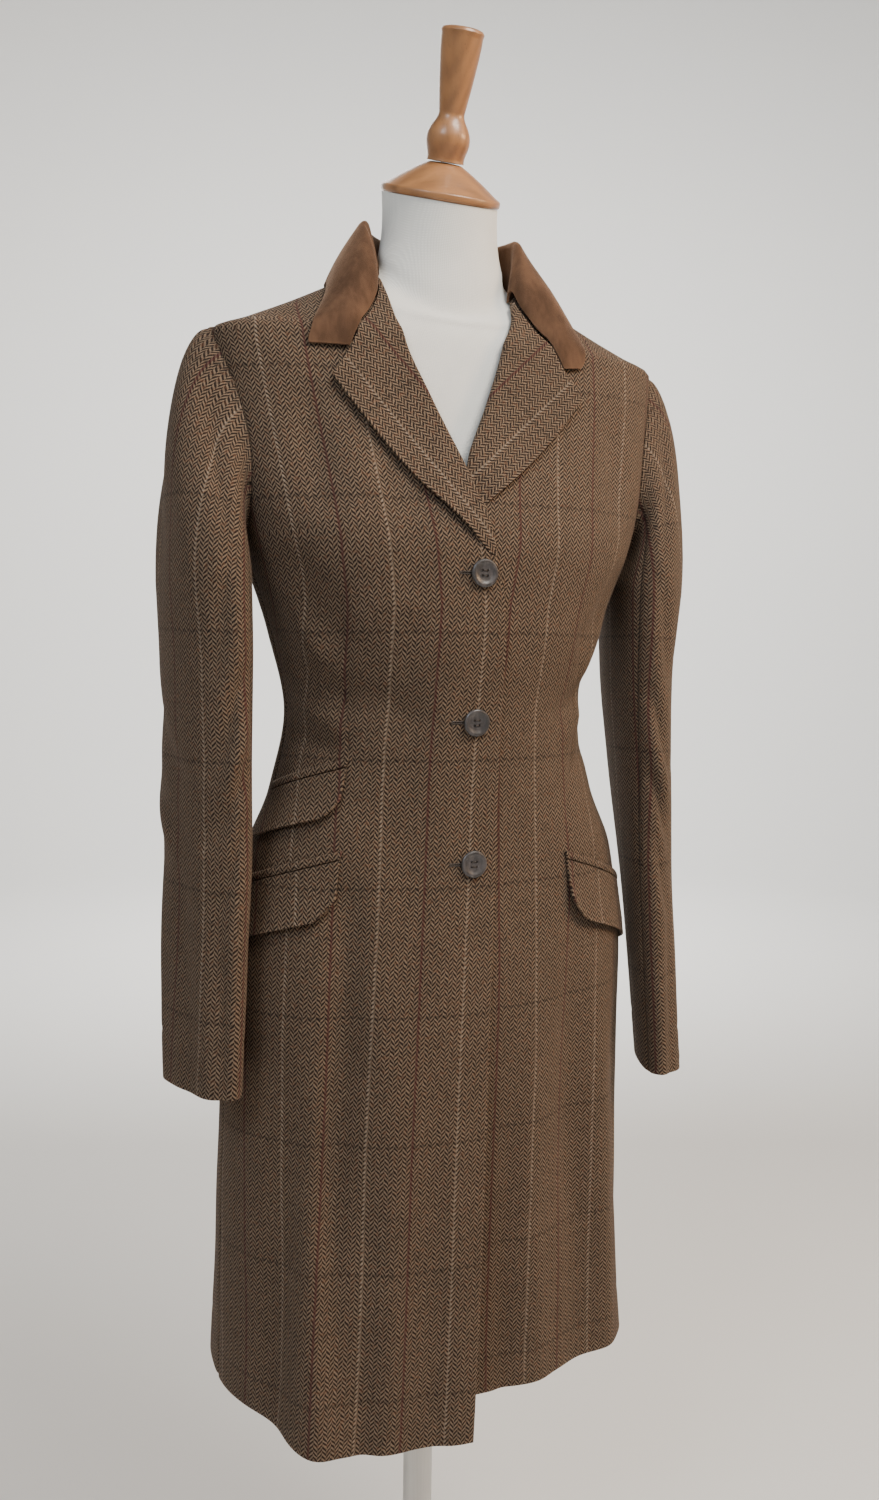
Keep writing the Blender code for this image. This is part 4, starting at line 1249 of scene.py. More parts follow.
def crowded(count, close=0.004):
    """Shares from 0 to 1 that lie closer together near both ends."""
    ends = np.array((0.0, close, 3.0 * close))
    between = np.linspace(6.0 * close, 1.0 - 6.0 * close, count - 2 * len(ends))
    return np.concatenate((ends, between, 1.0 - ends[::-1]))


def front_depth(context, side, angle, below):
    """Depth of a front's outer face over the coat's ring, with its creases."""
    x = side * ring_point(side * angle, below)[..., 0]
    across = arc_across(side, angle, below)
    calm = step_between(*EDGE_CALM, np.abs(across)) * step_between(*NECK_CALM, below)
    strength = context.scene.coat_cloth.crease
    folds = creased(FRONT_CREASES[side], across, below, strength) + uneven(across, below)
    return front_lift(side, x, below) + WALL + calm * folds


def hem_press(to_hem):
    """Faint step over the top of a turned-up hem."""
    return -HEM_DIP * bell(to_hem - HEM_TURN, HEM_SOFT)


def seam_dip(context, to_seam):
    """How far the cloth sinks near its seams."""
    return context.scene.coat_cloth.seam_dip * bell(to_seam, SEAM_SOFT)


def kept_part(across, below):
    """Part of a panel that keeps its place when the panel is laid flat."""
    return (np.abs(across) < ALIGN_ACROSS) & (below > ALIGN_BELOW[0]) & (below < ALIGN_BELOW[1])


def front_cut(side, angle, below, height):
    """First layout of a front's cut: distance from the middle, and distance down."""
    across = arc_across(side, angle, below) + CHECK_ACROSS["front_" + LABELS[side]]
    return np.stack((across, NAPE - height - CHECK_DOWN), axis=-1)


def front(context, label, side):
    """Front panel from its edge to the side seam, with its dart and creases."""
    share, row = np.meshgrid(crowded(FRONT_FINE), panel_rows())
    dip = RIGHT_DIP if side < 0 else LEFT_DIP
    hem = HEM + dip * (1.0 - step_between(*DIP_SHARES, share))
    below = row_below(row, hem)
    start = angle_across(side, edge_across(side, below), below)
    angle = start + (seam_angle(row, below, True) - start) * share
    depth = front_depth(context, side, angle, below)
    points = coat_point(side, angle, below, depth)
    run = lengths_along(points, 1)
    to_seam = run[:, -1:] - run
    to_hem = lengths_along(points, 0)
    dart = distance_to_line(DARTS[side], side * points[..., 0], below)
    depth = depth - step_between(*DIP_FADE, below) * seam_dip(context, to_seam)
    depth = depth - DART_DIP * bell(dart, DART_SOFT) + hem_press(to_hem)
    points = coat_point(side, angle, below, depth)
    first = front_cut(side, angle, below, points[..., 2])
    flat = flattened(points, first)
    flat = realigned(flat, first, kept_part(first[..., 0], below))
    flat[..., 0] -= BUST_LEAN * np.maximum(BUST - below, 0.0)
    flat[..., 0] -= SKIRT_LEAN[side] * np.maximum(below - WAIST, 0.0)
    piece = cloth_sheet(
        context, "tweed_front_" + label, points, flat, Vector((0.0, -1.0, 0.0)), tweed(context),
        seam=np.minimum(to_seam, dart), edge=np.minimum(run, to_hem),
    )
    size, area = cut_size(flat)
    stand_for(piece, "front_" + label)


def back(context, label, side):
    """Back panel from the side seam to the middle back seam."""
    share, row = np.meshgrid(crowded(BACK_FINE), panel_rows())
    below = row_below(row, HEM)
    start = seam_angle(row, below, False)
    end = math.pi - angle_across(side, HALF_SEAM, below)
    angle = start + (end - start) * share
    across = -arc_across(side, angle, below, start=math.pi)
    calm = step_between(*NECK_CALM, below) * step_between(*BACK_CALM, across)
    strength = context.scene.coat_cloth.crease
    folds = creased(BACK_CREASES[side], across, below, strength) + uneven(across, below)
    depth = WALL + calm * folds
    points = coat_point(side, angle, below, depth)
    run = lengths_along(points, 1)
    to_seam = np.minimum(run, run[:, -1:] - run)
    to_hem = lengths_along(points, 0)
    depth = depth - step_between(*DIP_FADE, below) * seam_dip(context, to_seam) + hem_press(to_hem)
    points = coat_point(side, angle, below, depth)
    name = "back_" + label
    first = np.stack((across + CHECK_ACROSS[name], NAPE - points[..., 2] - CHECK_DOWN), axis=-1)
    flat = flattened(points, first)
    flat = realigned(flat, first, kept_part(across, below))
    piece = cloth_sheet(
        context, "tweed_" + name, points, flat, Vector((0.0, 1.0, 0.0)), tweed(context),
        seam=to_seam, edge=to_hem,
    )
    size, area = cut_size(flat)
    stand_for(piece, name)


# Lapels and collar

def lapel_patch(side, c, s):
    """Places across and below of a lapel, from the roll line (c 0) to the free edge (c 1)."""
    if side < 0:
        roll_low = (edge_across(side, ROLL_FOOT_RIGHT), ROLL_FOOT_RIGHT)
        free_low = FREE_FOOT_RIGHT
    else:
        roll_low = ROLL_FOOT_LEFT
        free_low = FREE_FOOT_LEFT
    top = (edge_across(side, LAPEL_TOP), LAPEL_TOP)
    roll_below = roll_low[1] + (top[1] - roll_low[1]) * s
    roll = (edge_across(side, roll_below), roll_below)
    belly = LAPEL_BELLY * np.sin(math.pi * s)
    free = mix(free_low, LAPEL_TIP, s)
    free = (free[0] + belly, free[1] + belly)
    inner = mix(top, NOTCH, c / LAPEL_NOTCH)
    outer = mix(NOTCH, LAPEL_TIP, (c - LAPEL_NOTCH) / (1.0 - LAPEL_NOTCH))
    gorge = [np.where(c < LAPEL_NOTCH, a, b) for a, b in zip(inner, outer)]
    foot = mix(roll_low, free_low, c)
    sides = mix(roll, free, c)
    ends = mix(foot, gorge, s)
    corners = mix(foot, mix(top, LAPEL_TIP, c), s)
    return sides[0] + ends[0] - corners[0], sides[1] + ends[1] - corners[1]


def lapel(context, label, side):
    """Turned-back lapel with a round roll along its fold."""
    columns, rows = LAPEL_FINE
    turns = np.linspace(ROLL_TURN, 0.0, ROLL_FINE)[:-1]
    shares = np.concatenate((np.zeros(len(turns)), crowded(columns, close=0.008)))
    theta = np.concatenate((turns, np.zeros(columns)))
    c, s = np.meshgrid(shares, crowded(rows, close=0.005))
    theta = np.broadcast_to(theta, c.shape)
    x, below = lapel_patch(side, c, s)
    angle = angle_across(side, x, below)
    rise = (LAPEL_CLEAR + WALL) * (LAPEL_FOOT + (1.0 - LAPEL_FOOT) * step_between(0.0, LAPEL_FLAT, s))
    lift = LAPEL_LIFT * step_between(*LIFT_ACROSS, c) ** 2 * step_between(*LIFT_ALONG, s)
    under = front_depth(context, side, angle, below)
    points = coat_point(side, angle, below, under + rise + lift)
    out = ring_normal(side * angle, below)
    inward = ring_point(side * (angle - ROLL_STEP), below) - ring_point(side * (angle + ROLL_STEP), below)
    inward = unit(inward)
    radius = ((rise + WALL) / 2)[..., None]
    points = points - out * radius * (1.0 - np.cos(theta))[..., None]
    points = points + inward * radius * np.sin(theta)[..., None]
    flat = front_cut(side, angle, below, points[..., 2])
    flat[..., 0] -= radius[..., 0] * theta
    foot = flat[0, len(turns)].copy()
    fold = unit(flat[-1, len(turns)] - foot)
    off = flat - foot
    flat = foot + 2.0 * (off @ fold)[..., None] * fold - off
    run = lengths_along(points, 1)
    down = lengths_along(points, 0)
    edge = np.minimum(run[:, -1:] - run, down[-1:] - down)
    edge = np.where(theta > 0.0, FAR, edge)
    piece = cloth_sheet(
        context, "tweed_lapel_" + label, points, flat, Vector((0.0, -1.0, 0.0)), tweed(context), edge=edge,
    )
    size, area = cut_size(flat)
    area = max(area, LEAST_CUT * size[0] * size[1])
    stand_for(piece, "lapel_" + label)


def collar_lines(at):
    """Lines of the collar's middle, from the neck seam up the stand, over the roll and down the fall."""
    side = np.where(at < 0.0, -1.0, 1.0)
    station = np.abs(at)

    def read(name):
        return eased(COLLAR, COLLAR_NAMES.index(name), station)

    edge = np.where(at < 0.0, edge_across(-1, NECKLINE), edge_across(1, NECKLINE))
    front_angle = angle_across(side, edge, NECKLINE)
    neck_angle = math.pi + (front_angle - math.pi) * read("round_neck")
    rise = np.zeros((len(at), 3))
    rise[:, 2] = read("rise")
    seam = ring_point(side * neck_angle, NECKLINE)
    out = ring_normal(side * neck_angle, NECKLINE)
    out[:, 2] = 0.0
    base = seam - unit(out) * STAND_INSIDE
    corner = [np.where(at < 0.0, right, left) for right, left in zip(COLLAR_CORNERS[-1], COLLAR_CORNERS[1])]
    bent = step_between(BEND_STATION, 1.0, station)

    def fall(share):
        angle = neck_angle + (np.radians(read("edge_angle")) - neck_angle) * share
        below = NECKLINE + (read("edge_below") - NECKLINE) * share
        notch = (NOTCH[0] + GORGE_GAP, NOTCH[1] - GORGE_GAP)
        if share < NOTCH_SHARE:
            end = mix((edge, NECKLINE), notch, share / NOTCH_SHARE)
        else:
            end = mix(notch, corner, (share - NOTCH_SHARE) / (1.0 - NOTCH_SHARE))
        x = side * ring_point(side * angle, below)[:, 0]
        x, low = mix((x, below), end, bent)
        bends = (bent > 0.0) & (share > 0.0)
        angle = np.where(bends, angle_across(side, x, low), angle)
        below = np.where(bends, low, below)
        depth = WALL + COLLAR_CLEAR * (1.0 - 0.5 * share) + WALL / 2 + 0.0 * angle
        return coat_point(side, angle, below, depth) + rise * (1.0 - share ** FALL_CURVE)

    stand = [base + rise * (step / STAND_STEPS) for step in range(STAND_STEPS + 1)]
    roll = (base + rise + fall(0.0)) / 2 + np.array((0.0, 0.0, ROLL_RISE))
    return np.stack(stand + [roll] + [fall(share) for share in FALL_STEPS])


def curve_through(lines, steps):
    """Smooth lines through a stack of lines, with a number of steps between each two."""
    padded = np.concatenate((2 * lines[:1] - lines[1:2], lines, 2 * lines[-1:] - lines[-2:-1]))
    rows = []
    for at in range(len(lines) - 1):
        a, b, c, d = padded[at:at + 4]
        for step in range(steps):
            rows.append(bow(a, b, c, d, step / steps))
    return np.stack(rows + [lines[-1]])


def collar(context):
    """Velvet collar, whose cut is laid out from the middle of the back."""
    points = curve_through(collar_lines(np.linspace(-1.0, 1.0, COLLAR_FINE)), 2)
    run = lengths_along(points, 1)
    down = lengths_along(points, 0)
    middle = COLLAR_FINE // 2
    flat = np.stack((run - run[:, middle:middle + 1], down), axis=-1)
    sides = np.minimum(run, run[:, -1:] - run)
    edge = np.minimum(sides, down[-1:] - down)
    piece = cloth_sheet(
        context, "velvet_collar", points, flat, Vector((0.0, 0.0, 1.0)), velvet(context),
        offset=0.0, edge=edge,
    )
    size, area = cut_size(flat)
    stand_for(piece, "collar")


# Sleeves

def armhole_line(side, phi, size, depth):
    """Line round the armhole, at a share of its full size and a depth over the coat's inside."""
    turn = np.radians(phi)
    below = ARMHOLE_MIDDLE - ARMHOLE_RISE * np.cos(turn) * size
    wide = np.where(phi % 360.0 <= 180.0, ARMHOLE_FRONT, ARMHOLE_BACK)
    reach = wide * np.sin(turn) * (1.0 - ARMHOLE_SAG * np.cos(turn)) * size
    return coat_point(side, angle_along(-reach, below), below, depth + 0.0 * below)


def sleeve_middle(side, phi, ring):
    """Middle of the sleeve's cloth at an angle round the arm, 0 outwards, 90 forwards, 180 inwards."""
    phi = phi % 360.0
    turn = np.radians(phi)
    cuff = CUFFS[side]

    def arm_ring(below):
        def read(name):
            return eased(SLEEVE, SLEEVE_NAMES.index(name), below)

        twist = np.radians(read("turn_right" if side < 0 else "turn_left"))
        middle = read("out_right" if side < 0 else "out_left")
        out = read("half_thick") * np.cos(turn)
        forward = read("half_deep") * np.sin(turn)
        x = middle + out * np.cos(twist) - forward * np.sin(twist)
        y = -read("forward") - out * np.sin(twist) - forward * np.cos(twist)
        return np.stack((side * x, y, NAPE - below), axis=-1)

    share = np.maximum(ring - CAP_RINGS, 0.0) / ARM_RINGS
    arm = arm_ring(BICEPS + (cuff - BICEPS) * share)
    edge = armhole_line(side, phi, 1.0, WALL + GAP + WALL / 2)
    end = arm_ring(BICEPS + 0.0 * turn)
    top = (1.0 + np.cos(turn)) / 2
    out = HEAD_OUT + HEAD_OUT_TOP * top
    leave = np.stack((side * out, -HEAD_FORWARD * np.sin(turn), -HEAD_DOWN - HEAD_DOWN_TOP * top), axis=-1)
    drop = np.maximum(edge[..., 2] - end[..., 2], HEAD_ARRIVE_LEAST) * HEAD_ARRIVE
    arrive = np.stack((0.0 * drop, 0.0 * drop, -drop), axis=-1)
    t = (np.minimum(ring / CAP_RINGS, 1.0) ** HEAD_CROWDING)[..., None]
    head = bridge(edge, leave, end, arrive, t)
    return np.where((ring < CAP_RINGS)[..., None], head, arm)


def sleeve(context, name, side, first, last, shorter):
    """Half of a sleeve between two seams, given in degrees round the arm."""
    columns = round((last - first) / SLEEVE_COLUMN)
    rings = np.concatenate((
        np.zeros(len(HEAD_LAPS)),
        CAP_RINGS * np.linspace(0.0, 1.0, HEAD_FINE) ** HEAD_FINE_CROWDING,
        np.linspace(CAP_RINGS, CAP_RINGS + ARM_RINGS, ARM_FINE)[1:],
    ))
    phi, ring = np.meshgrid(first + SEAM_TRIM + (last - first - 2 * SEAM_TRIM) * crowded(columns), rings)
    inset = (phi - first) * (last - phi) / ((last - first) / 2) ** 2
    ring = ring - np.maximum(ring - CAP_RINGS, 0.0) * inset * shorter / (CUFFS[side] - BICEPS)
    points = sleeve_middle(side, phi, ring)
    for row, (most, deep) in enumerate(HEAD_LAPS):
        lap = most * (1.0 - LAP_SWING + LAP_SWING * np.cos(np.radians(phi[row])))
        points[row] = armhole_line(side, phi[row], 1.0 + lap, deep)
    out = grid_normals(points)
    arm = np.array((0.0, 0.0, 1.0)) * points + np.array((side * ARM_MIDDLE[0], ARM_MIDDLE[1], 0.0))
    out = out * np.sign(np.sum((out * (points - arm))[BELOW_HEAD:].mean(axis=(0, 1))))
    below = NAPE - points[..., 2]
    across = np.radians(phi) * ARM_ROUND
    table = [
        (math.radians(a) * ARM_ROUND, b, math.radians(c) * ARM_ROUND, d, wide, deep)
        for a, b, c, d, wide, deep in SLEEVE_CREASES[side]
    ]
    calm_from, calm_to = INNER_CALM
    free = 1.0 - step_between(*calm_from, phi) * (1.0 - step_between(*calm_to, phi))
    free = free * step_between(*HEAD_CALM, ring)
    strength = context.scene.coat_cloth.crease
    depth = free * (creased(table, across, below, strength) + uneven(across, below))
    run = lengths_along(points, 1)
    to_seam = np.minimum(run, run[:, -1:] - run)
    from_head = lengths_along(points, 0)
    from_head = from_head - from_head[len(HEAD_LAPS)]
    to_cuff = from_head[-1:] - from_head
    top = np.maximum(np.cos(np.radians(phi)), 0.0)
    high, middle, spread = HEAD_ROLL
    roll = high * top ** 2 * bell(from_head - middle, spread)
    depth = depth + roll - seam_dip(context, to_seam) + hem_press(to_cuff)
    points = points + out * depth[..., None]
    biceps = int(np.searchsorted(rings, CAP_RINGS))
    line = int(np.argmin(np.abs(phi[0] - SLEEVE_LINE))) if first < 0.0 else columns // 2
    start = np.stack((run - run[:, line:line + 1], from_head - from_head[biceps]), axis=-1)
    start += np.array((context.scene.coat_weave.check_across / 2, BICEPS - CHECK_DOWN))
    flat = flattened(points, start, SLEEVE_ROUNDS)
    flat = realigned(flat, start, (ring > ALIGN_RINGS[0]) & (ring < ALIGN_RINGS[1]))
    piece = cloth_sheet(
        context, "tweed_" + name, points, flat, Vector(out[ON_ARM, columns // 2]), tweed(context),
        offset=0.0, seam=np.minimum(to_seam, np.abs(from_head - from_head[1:2])), edge=to_cuff,
    )
    size, area = cut_size(flat)
    stand_for(piece, name)


# Pockets

def pocket(context, name, side, front_end, top, end_degrees, drop, high):
    """Jetted welt with a slanting flap under it, whose lower front corner is rounded."""
    start = float(angle_across(side, front_end, np.float64(top)))
    end = math.radians(end_degrees)

    def strip(piece_name, node, share, row, low_of, high_of, bulge, sewn_below):
        angle = start + (end - start) * share
        low, high_edge = low_of(share), high_of(share)
        below = top + drop * share + low + (high_edge - low) * row
        depth = front_depth(context, side, angle, below) + FLAP_CLEAR + FLAP_THICK + bulge
        points = coat_point(side, angle, below, depth)
        flat = front_cut(side, angle, below, points[..., 2])
        run, down = lengths_along(points, 1), lengths_along(points, 0)
        edge = np.minimum(np.minimum(run, run[:, -1:] - run), down[-1:] - down)
        # Distances to the welt's sewn edges, along which the tweed paints shade
        seam = np.minimum(down, down[-1:] - down) if sewn_below else down
        out = Vector(ring_normal(np.float64(side * (start + end) / 2), np.float64(top + drop / 2)))
        piece = cloth_sheet(
            context, piece_name, points, flat, out, tweed(context), wall=FLAP_THICK, seam=seam, edge=edge,
        )
        size = (float(run[:, -1].max()), float(down[-1].max()))
        return stand_for(piece, node), size, min(cut_size(flat)[1], size[0] * size[1])

    def flap_low(share):
        corner = np.maximum(1.0 - share / CORNER_WIDE, 0.0)
        return WELT_HIGH + GAP + high * (1.0 - CORNER_CUT * corner ** 2)

    columns = crowded(FLAP_FINE[0], close=0.008)
    share, row = np.meshgrid(columns, np.linspace(0.0, 1.0, WELT_FINE))
    bulge = WELT_BULGE * (np.sin(math.pi * row) - 0.5)
    welt, _, _ = strip(
        "tweed_welt_" + name, "welt_" + name, share, row,
        lambda at: 0.0 * at, lambda at: WELT_HIGH + 0.0 * at, bulge, True,
    )
    share, row = np.meshgrid(columns, crowded(FLAP_FINE[1], close=0.012))
    lift = context.scene.coat_cloth.flap_lift * row ** 2 * (1.0 - FLAP_END_HELD * share)
    flap, size, area = strip(
        "tweed_flap_" + name, "flap_" + name, share, row,
        lambda at: WELT_HIGH + GAP + 0.0 * at, flap_low, lift, False,
    )


# Buttons and buttonholes

def button_place(context, below):
    """Place of a button on the right front: its seat turned to face outwards."""
    below = np.float64(below)
    middle = angle_across(-1, np.float64(0.0), below)
    out = ring_normal(-middle, below)
    seat = coat_point(-1, middle, below, front_depth(context, -1, middle, below) + BUTTON_CLEAR)
    turn = Vector(out).to_track_quat("Z", "Y").to_matrix().to_4x4()
    return Matrix.Translation(Vector(seat)) @ turn


def button(context, number, below):
    """Four-hole button with a raised rim, sewn on with two bars of thread."""
    place = button_place(context, below)
    profile = [(share * BUTTON_RADIUS, height) for share, height in BUTTON_PROFILE]
    piece = turned("horn_button_" + str(number), profile, horn(context), place, BUTTON_SOFT)
    bm = bmesh.new()
    for x in (-HOLE_OFFSET, HOLE_OFFSET):
        for y in (-HOLE_OFFSET, HOLE_OFFSET):
            bmesh.ops.create_cone(
                bm, cap_ends=True, segments=HOLE_STEPS, radius1=HOLE_RADIUS, radius2=HOLE_RADIUS,
                depth=HOLE_DEEP, matrix=place @ Matrix.Translation((x, y, 0.0)),
            )
    cutter = mesh_object("button_holes", bm, horn(context))
    cut = piece.modifiers.new("Holes", "BOOLEAN")
    cut.operation = "DIFFERENCE"
    cut.solver = "EXACT"
    cut.object = cutter
    depsgraph = context.evaluated_depsgraph_get()
    mesh = bpy.data.meshes.new_from_object(piece.evaluated_get(depsgraph))
    piece.modifiers.clear()
    piece.data = mesh
    bpy.data.objects.remove(cutter, do_unlink=True)
    mesh.shade_smooth()
    mesh.set_sharp_from_angle(angle=BUTTON_SHARP)
    stand_for(piece, "button_" + str(number))
    for bar, y in enumerate((-HOLE_OFFSET, HOLE_OFFSET), start=1):
        t = np.linspace(-1.0, 1.0, THREAD_FINE)
        local = np.stack((HOLE_OFFSET * t, y + 0.0 * t, THREAD_TOP - THREAD_DIP * t ** 4), axis=-1)
        path = [tuple(place @ Vector(point)) for point in local]
        stitch = swept(f"button_thread_{number}_{bar}", path, THREAD_RADIUS, thread(context))


def buttonhole(context, number, below):
    """Slit with a purled edge, from under the button towards the side; the slit is a thin dark sheet laid on
    the cloth, painted shade for the shadow inside it.
    """
    along, round_end = SLIT_FINE
    turn = np.linspace(-math.pi / 2, math.pi / 2, round_end)
    straight = np.linspace(SLIT_FROM, SLIT_TO - SLIT_HALF, along)
    x = np.concatenate((straight, SLIT_TO - SLIT_HALF + SLIT_HALF * np.cos(turn), straight[::-1]))
    y = np.concatenate((straight * 0.0 - SLIT_HALF, SLIT_HALF * np.sin(turn), straight * 0.0 + SLIT_HALF))
    angle = angle_across(-1, x, below + y)
    depth = front_depth(context, -1, angle, below + y) + PURL_SUNK * PURL_RADIUS
    path = coat_point(-1, angle, below + y, depth)
    swell, beat = PURL_BEAT
    purls = PURL_RADIUS * (1.0 + swell * np.sin(np.arange(len(x)) * beat))
    edge = swept("buttonhole_edge_" + str(number), path, purls, thread(context))
    # Painted shade: a thin dark sheet just over the cloth stands where the slit's shadow would be
    rows = np.array((-SLIT_FLOOR, 0.0, SLIT_FLOOR)) * SLIT_HALF
    across, down = np.meshgrid(np.linspace(SLIT_FROM, SLIT_TO, SLIT_FLOOR_FINE), rows)
    angle = angle_across(-1, across, below + down)
    depth = front_depth(context, -1, angle, below + down) + SLIT_ABOVE
    bm, _ = placed_grid(coat_point(-1, angle, below + down, depth))
    bmesh.ops.solidify(bm, geom=bm.faces[:], thickness=SLIT_THICK)
    bmesh.ops.recalc_face_normals(bm, faces=bm.faces[:])
    mesh_object("buttonhole_slit_" + str(number), bm, slit_shade(context))


# Dress form and stand

def neck_frame():
    return Matrix.Translation(NECK_TOP) @ Matrix.Rotation(NECK_TILT, 4, "X")


def form_lines():
    """Rings of the padded form, from its flat underside up to the tilted top of the neck."""
    angle = np.linspace(0.0, 2.0 * math.pi, FORM_STEPS + 1)

    def body(below):
        more, middle, spread = NECK_EASE
        ease = eased(EASE, 1, below) + more * bell(below - middle, spread)
        at = ring_point(angle, below) - ring_normal(angle, below) * ease
        at[:, 0] = np.clip(at[:, 0], -ARM_PLATE, ARM_PLATE)
        return at

    rings = []
    for ring in range(FORM_RINGS + 1):
        share = 1.0 - (1.0 - ring / FORM_RINGS) ** FORM_CROWDING
        rings.append(body(FORM_BOTTOM + (FORM_SHOULDER - FORM_BOTTOM) * share))
    rings[0][:, 2] = NAPE - FORM_BOTTOM
    low = ring_point(angle, NECKLINE)
    axis = low * np.array((0.0, 0.0, 1.0)) + np.array((section("lean", NECKLINE), -AXIS_FORWARD, 0.0))
    low = axis + (low - axis) * NECK_INSET
    flat_ring = np.stack((np.sin(angle), -np.cos(angle), 0.0 * angle), axis=-1) * NECK_RADIUS
    turn = np.array(neck_frame())
    high = flat_ring @ turn[:3, :3].T + turn[:3, 3]
    for ring in range(NECK_RINGS):
        share = ring / (NECK_RINGS - 1)
        mixed = low + (high - low) * share
        middle = axis + (np.array(NECK_TOP) - axis) * share
        middle[:, 2] = mixed[:, 2]
        rings.append(middle + (mixed - middle) * (1.0 - NECK_WAIST * math.sin(math.pi * share)))
    return np.stack(rings)


def form_body(context):
    bm, _ = placed_grid(curve_through(form_lines(), FORM_FINE))
    piece = round_off("jersey_form", bm, jersey(context))
    piece.data.set_sharp_from_angle(angle=FORM_SHARP)
    stand_for(piece, "form_torso")


def form_wood(context):
    cap = smooth_profile(CAP_DOME) + list(CAP_RIM)
    piece = turned("beech_cap", cap, beech(context, "beech of the cap", LEVEL_GRAIN), neck_frame())
    stand_for(piece, "neck_cap")
    knob = list(KNOB_TOP) + smooth_profile(KNOB_SIDE) + [KNOB_FOOT]
    piece = turned("beech_finial", knob, beech(context), neck_frame())
    stand_for(piece, "finial")


def form_stand(context):
    low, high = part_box("pole")
    radius = (high.x - low.x) / 2
    profile = (
        (0.0, high.z), (radius - POLE_CHAMFER, high.z), (radius, high.z - POLE_CHAMFER),
        (radius, low.z + POLE_CHAMFER), (radius - POLE_CHAMFER, low.z), (0.0, low.z),
    )
    stand_for(turned("steel_pole", profile, steel(context)), "pole")
    low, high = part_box("base")
    radius, top = (high.x - low.x) / 2, high.z
    wide, deep = BASE_SHOULDER
    profile = [(0.0, top), (BASE_FLAT, top)]
    for turn in np.linspace(0.0, math.pi / 2, SHOULDER_FINE):
        profile.append((radius - wide + wide * math.sin(turn), top - deep + deep * math.cos(turn)))
    profile += [(radius, BASE_CHAMFER), (radius - BASE_CHAMFER, 0.0), (0.0, 0.0)]
    piece = turned("beech_base", profile, beech(context, "beech of the base", LEVEL_GRAIN))
    stand_for(piece, "base")


# Studio

def area_light(name, at, aim, size, watts, colour):
    light = bpy.data.lights.new(name, "AREA")
    light.shape = "DISK"
    light.size = size
    light.energy = watts
    light.color = colour
    lamp = bpy.data.objects.new(name, light)
    lamp.location = at
    lamp.rotation_euler = (Vector(aim) - Vector(at)).to_track_quat("-Z", "Y").to_euler()
    bpy.context.scene.collection.objects.link(lamp)


def floor_bowl(context):
    """Round pale floor whose rim curves up all round."""
    profile = [(0.0, 0.0), (FLOOR_FLAT, 0.0)]
    for turn in np.linspace(*FLOOR_TURNS):
        profile.append((FLOOR_FLAT + FLOOR_CURVE * math.sin(turn), FLOOR_CURVE * (1.0 - math.cos(turn))))
    profile.append((FLOOR_FLAT + FLOOR_CURVE, FLOOR_TOP))
    smooth_object("studio_floor", spun(profile, FLOOR_MERGE), pale_floor(context))


def photo_camera(context):
    studio = context.scene.coat_studio
    turn, pitch, roll = studio.camera_turn, studio.camera_pitch, studio.camera_roll
    level = math.cos(pitch)
    ahead = Vector((-math.sin(turn) * level, math.cos(turn) * level, -math.sin(pitch)))
    flat_right = Vector((math.cos(turn), math.sin(turn), 0.0))
    flat_up = flat_right.cross(ahead)
    right = flat_right * math.cos(roll) + flat_up * math.sin(roll)
    up = flat_up * math.cos(roll) - flat_right * math.sin(roll)
    data = bpy.data.cameras.new("camera")
    data.lens = studio.lens
    data.sensor_width = SENSOR
    data.clip_start = NEAR_CLIP
    camera = bpy.data.objects.new("camera", data)
    turned_to = Matrix((right, up, -ahead)).transposed().to_4x4()
    camera.matrix_world = Matrix.Translation(Vector(studio.camera_at)) @ turned_to
    context.scene.collection.objects.link(camera)
    context.scene.camera = camera


def stage(context):
    studio = context.scene.coat_studio
    world = bpy.data.worlds.new("studio")
    world.use_nodes = True
    surround = world.node_tree.nodes["Background"]
    surround.inputs["Color"].default_value = (1.0, 1.0, 1.0, 1.0)
    surround.inputs["Strength"].default_value = studio.surround
    context.scene.world = world
    floor_bowl(context)
    for name, setting, at, aim, size, colour in LIGHTS:
        area_light(name, at, aim, size, getattr(studio, setting), colour)
    photo_camera(context)


# Operators

class COAT_OT_fronts(bpy.types.Operator):
    """Lay the right and left front over the form, with their darts and creases"""

    bl_idname = "coat.fronts"
    bl_label = "Fronts"

    def execute(self, context):
        for label, side in SIDES:
            front(context, label, side)
        return {"FINISHED"}


class COAT_OT_backs(bpy.types.Operator):
    """Lay the two back panels, which meet in the middle back seam"""

    bl_idname = "coat.backs"
    bl_label = "Backs"

    def execute(self, context):
        for label, side in SIDES:
            back(context, label, side)
        return {"FINISHED"}


class COAT_OT_lapels(bpy.types.Operator):
    """Turn both lapels back along their roll lines"""

    bl_idname = "coat.lapels"
    bl_label = "Lapels"

    def execute(self, context):
        for label, side in SIDES:
            lapel(context, label, side)
        return {"FINISHED"}


class COAT_OT_collar(bpy.types.Operator):
    """Fold the velvet collar over its stand"""

    bl_idname = "coat.collar"
    bl_label = "Collar"

    def execute(self, context):
        collar(context)
        return {"FINISHED"}


class COAT_OT_sleeves(bpy.types.Operator):
    """Hang the top and under sleeves from the armholes"""

    bl_idname = "coat.sleeves"
    bl_label = "Sleeves"

    def execute(self, context):
        for label, side in SIDES:
            sleeve(context, "top_sleeve_" + label, side, HIND_SEAM - 360.0, FRONT_SEAM, 0.0)
            sleeve(context, "under_sleeve_" + label, side, FRONT_SEAM, HIND_SEAM, UNDER_SHORTER)
        return {"FINISHED"}


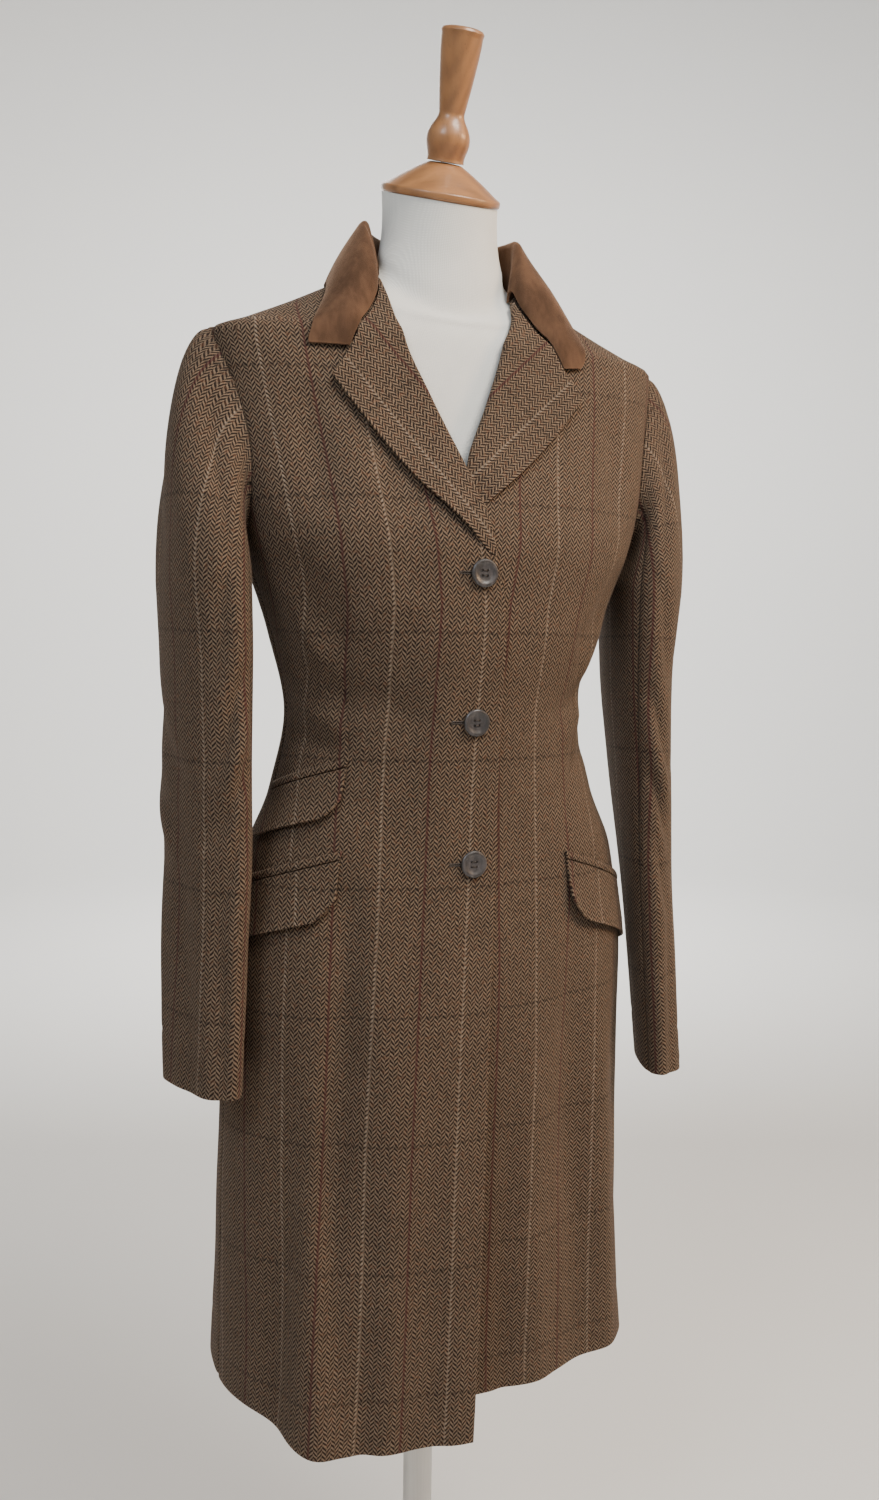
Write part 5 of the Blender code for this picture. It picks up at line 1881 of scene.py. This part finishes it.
class COAT_OT_pockets(bpy.types.Operator):
    """Set in the pocket welts and their flaps"""

    bl_idname = "coat.pockets"
    bl_label = "Pockets"

    def execute(self, context):
        for row in POCKETS:
            pocket(context, *row)
        return {"FINISHED"}


class COAT_OT_buttons(bpy.types.Operator):
    """Sew on the buttons and work their buttonholes"""

    bl_idname = "coat.buttons"
    bl_label = "Buttons and Buttonholes"

    def execute(self, context):
        for number, below in enumerate(BUTTONS_BELOW, start=1):
            button(context, number, below)
            buttonhole(context, number, below)
        return {"FINISHED"}


class COAT_OT_form(bpy.types.Operator):
    """Cover the dress form and turn its cap and finial"""

    bl_idname = "coat.form"
    bl_label = "Dress Form"

    def execute(self, context):
        form_body(context)
        form_wood(context)
        return {"FINISHED"}


class COAT_OT_stand(bpy.types.Operator):
    """Turn the pole and the round base"""

    bl_idname = "coat.stand"
    bl_label = "Stand"

    def execute(self, context):
        form_stand(context)
        return {"FINISHED"}


class COAT_OT_stage(bpy.types.Operator):
    """Set up the floor, the lights and the camera"""

    bl_idname = "coat.stage"
    bl_label = "Studio"

    def execute(self, context):
        stage(context)
        return {"FINISHED"}


OPERATORS = (
    COAT_OT_fronts, COAT_OT_backs, COAT_OT_lapels, COAT_OT_collar, COAT_OT_sleeves, COAT_OT_pockets,
    COAT_OT_buttons, COAT_OT_form, COAT_OT_stand, COAT_OT_stage,
)
SETTINGS = (
    ("coat_cloth", CoatCloth), ("coat_weave", CoatWeave),
    ("coat_trim", CoatTrim), ("coat_studio", CoatStudio),
)


class VIEW3D_PT_coat(bpy.types.Panel):
    """Settings of the coat and the steps that make it"""

    bl_idname = "VIEW3D_PT_coat"
    bl_label = "Tweed Coat"
    bl_space_type = "VIEW_3D"
    bl_region_type = "UI"
    bl_category = "Coat"

    def draw(self, context):
        for name, group in SETTINGS:
            box = self.layout.box()
            for setting in group.__annotations__:
                box.prop(getattr(context.scene, name), setting)
        for operator in OPERATORS:
            self.layout.operator(operator.bl_idname)


def register():
    for _, group in SETTINGS:
        bpy.utils.register_class(group)
    for operator in OPERATORS:
        bpy.utils.register_class(operator)
    bpy.utils.register_class(VIEW3D_PT_coat)
    for name, group in SETTINGS:
        setattr(bpy.types.Scene, name, PointerProperty(type=group))


def unregister():
    for name, _ in SETTINGS:
        delattr(bpy.types.Scene, name)
    bpy.utils.unregister_class(VIEW3D_PT_coat)
    for operator in reversed(OPERATORS):
        bpy.utils.unregister_class(operator)
    for _, group in reversed(SETTINGS):
        bpy.utils.unregister_class(group)


def main():
    register()
    bpy.ops.coat.fronts()
    bpy.ops.coat.backs()
    bpy.ops.coat.lapels()
    bpy.ops.coat.collar()
    bpy.ops.coat.sleeves()
    bpy.ops.coat.pockets()
    bpy.ops.coat.buttons()
    bpy.ops.coat.form()
    bpy.ops.coat.stand()
    bpy.ops.coat.stage()


if __name__ == "__main__":
    main()
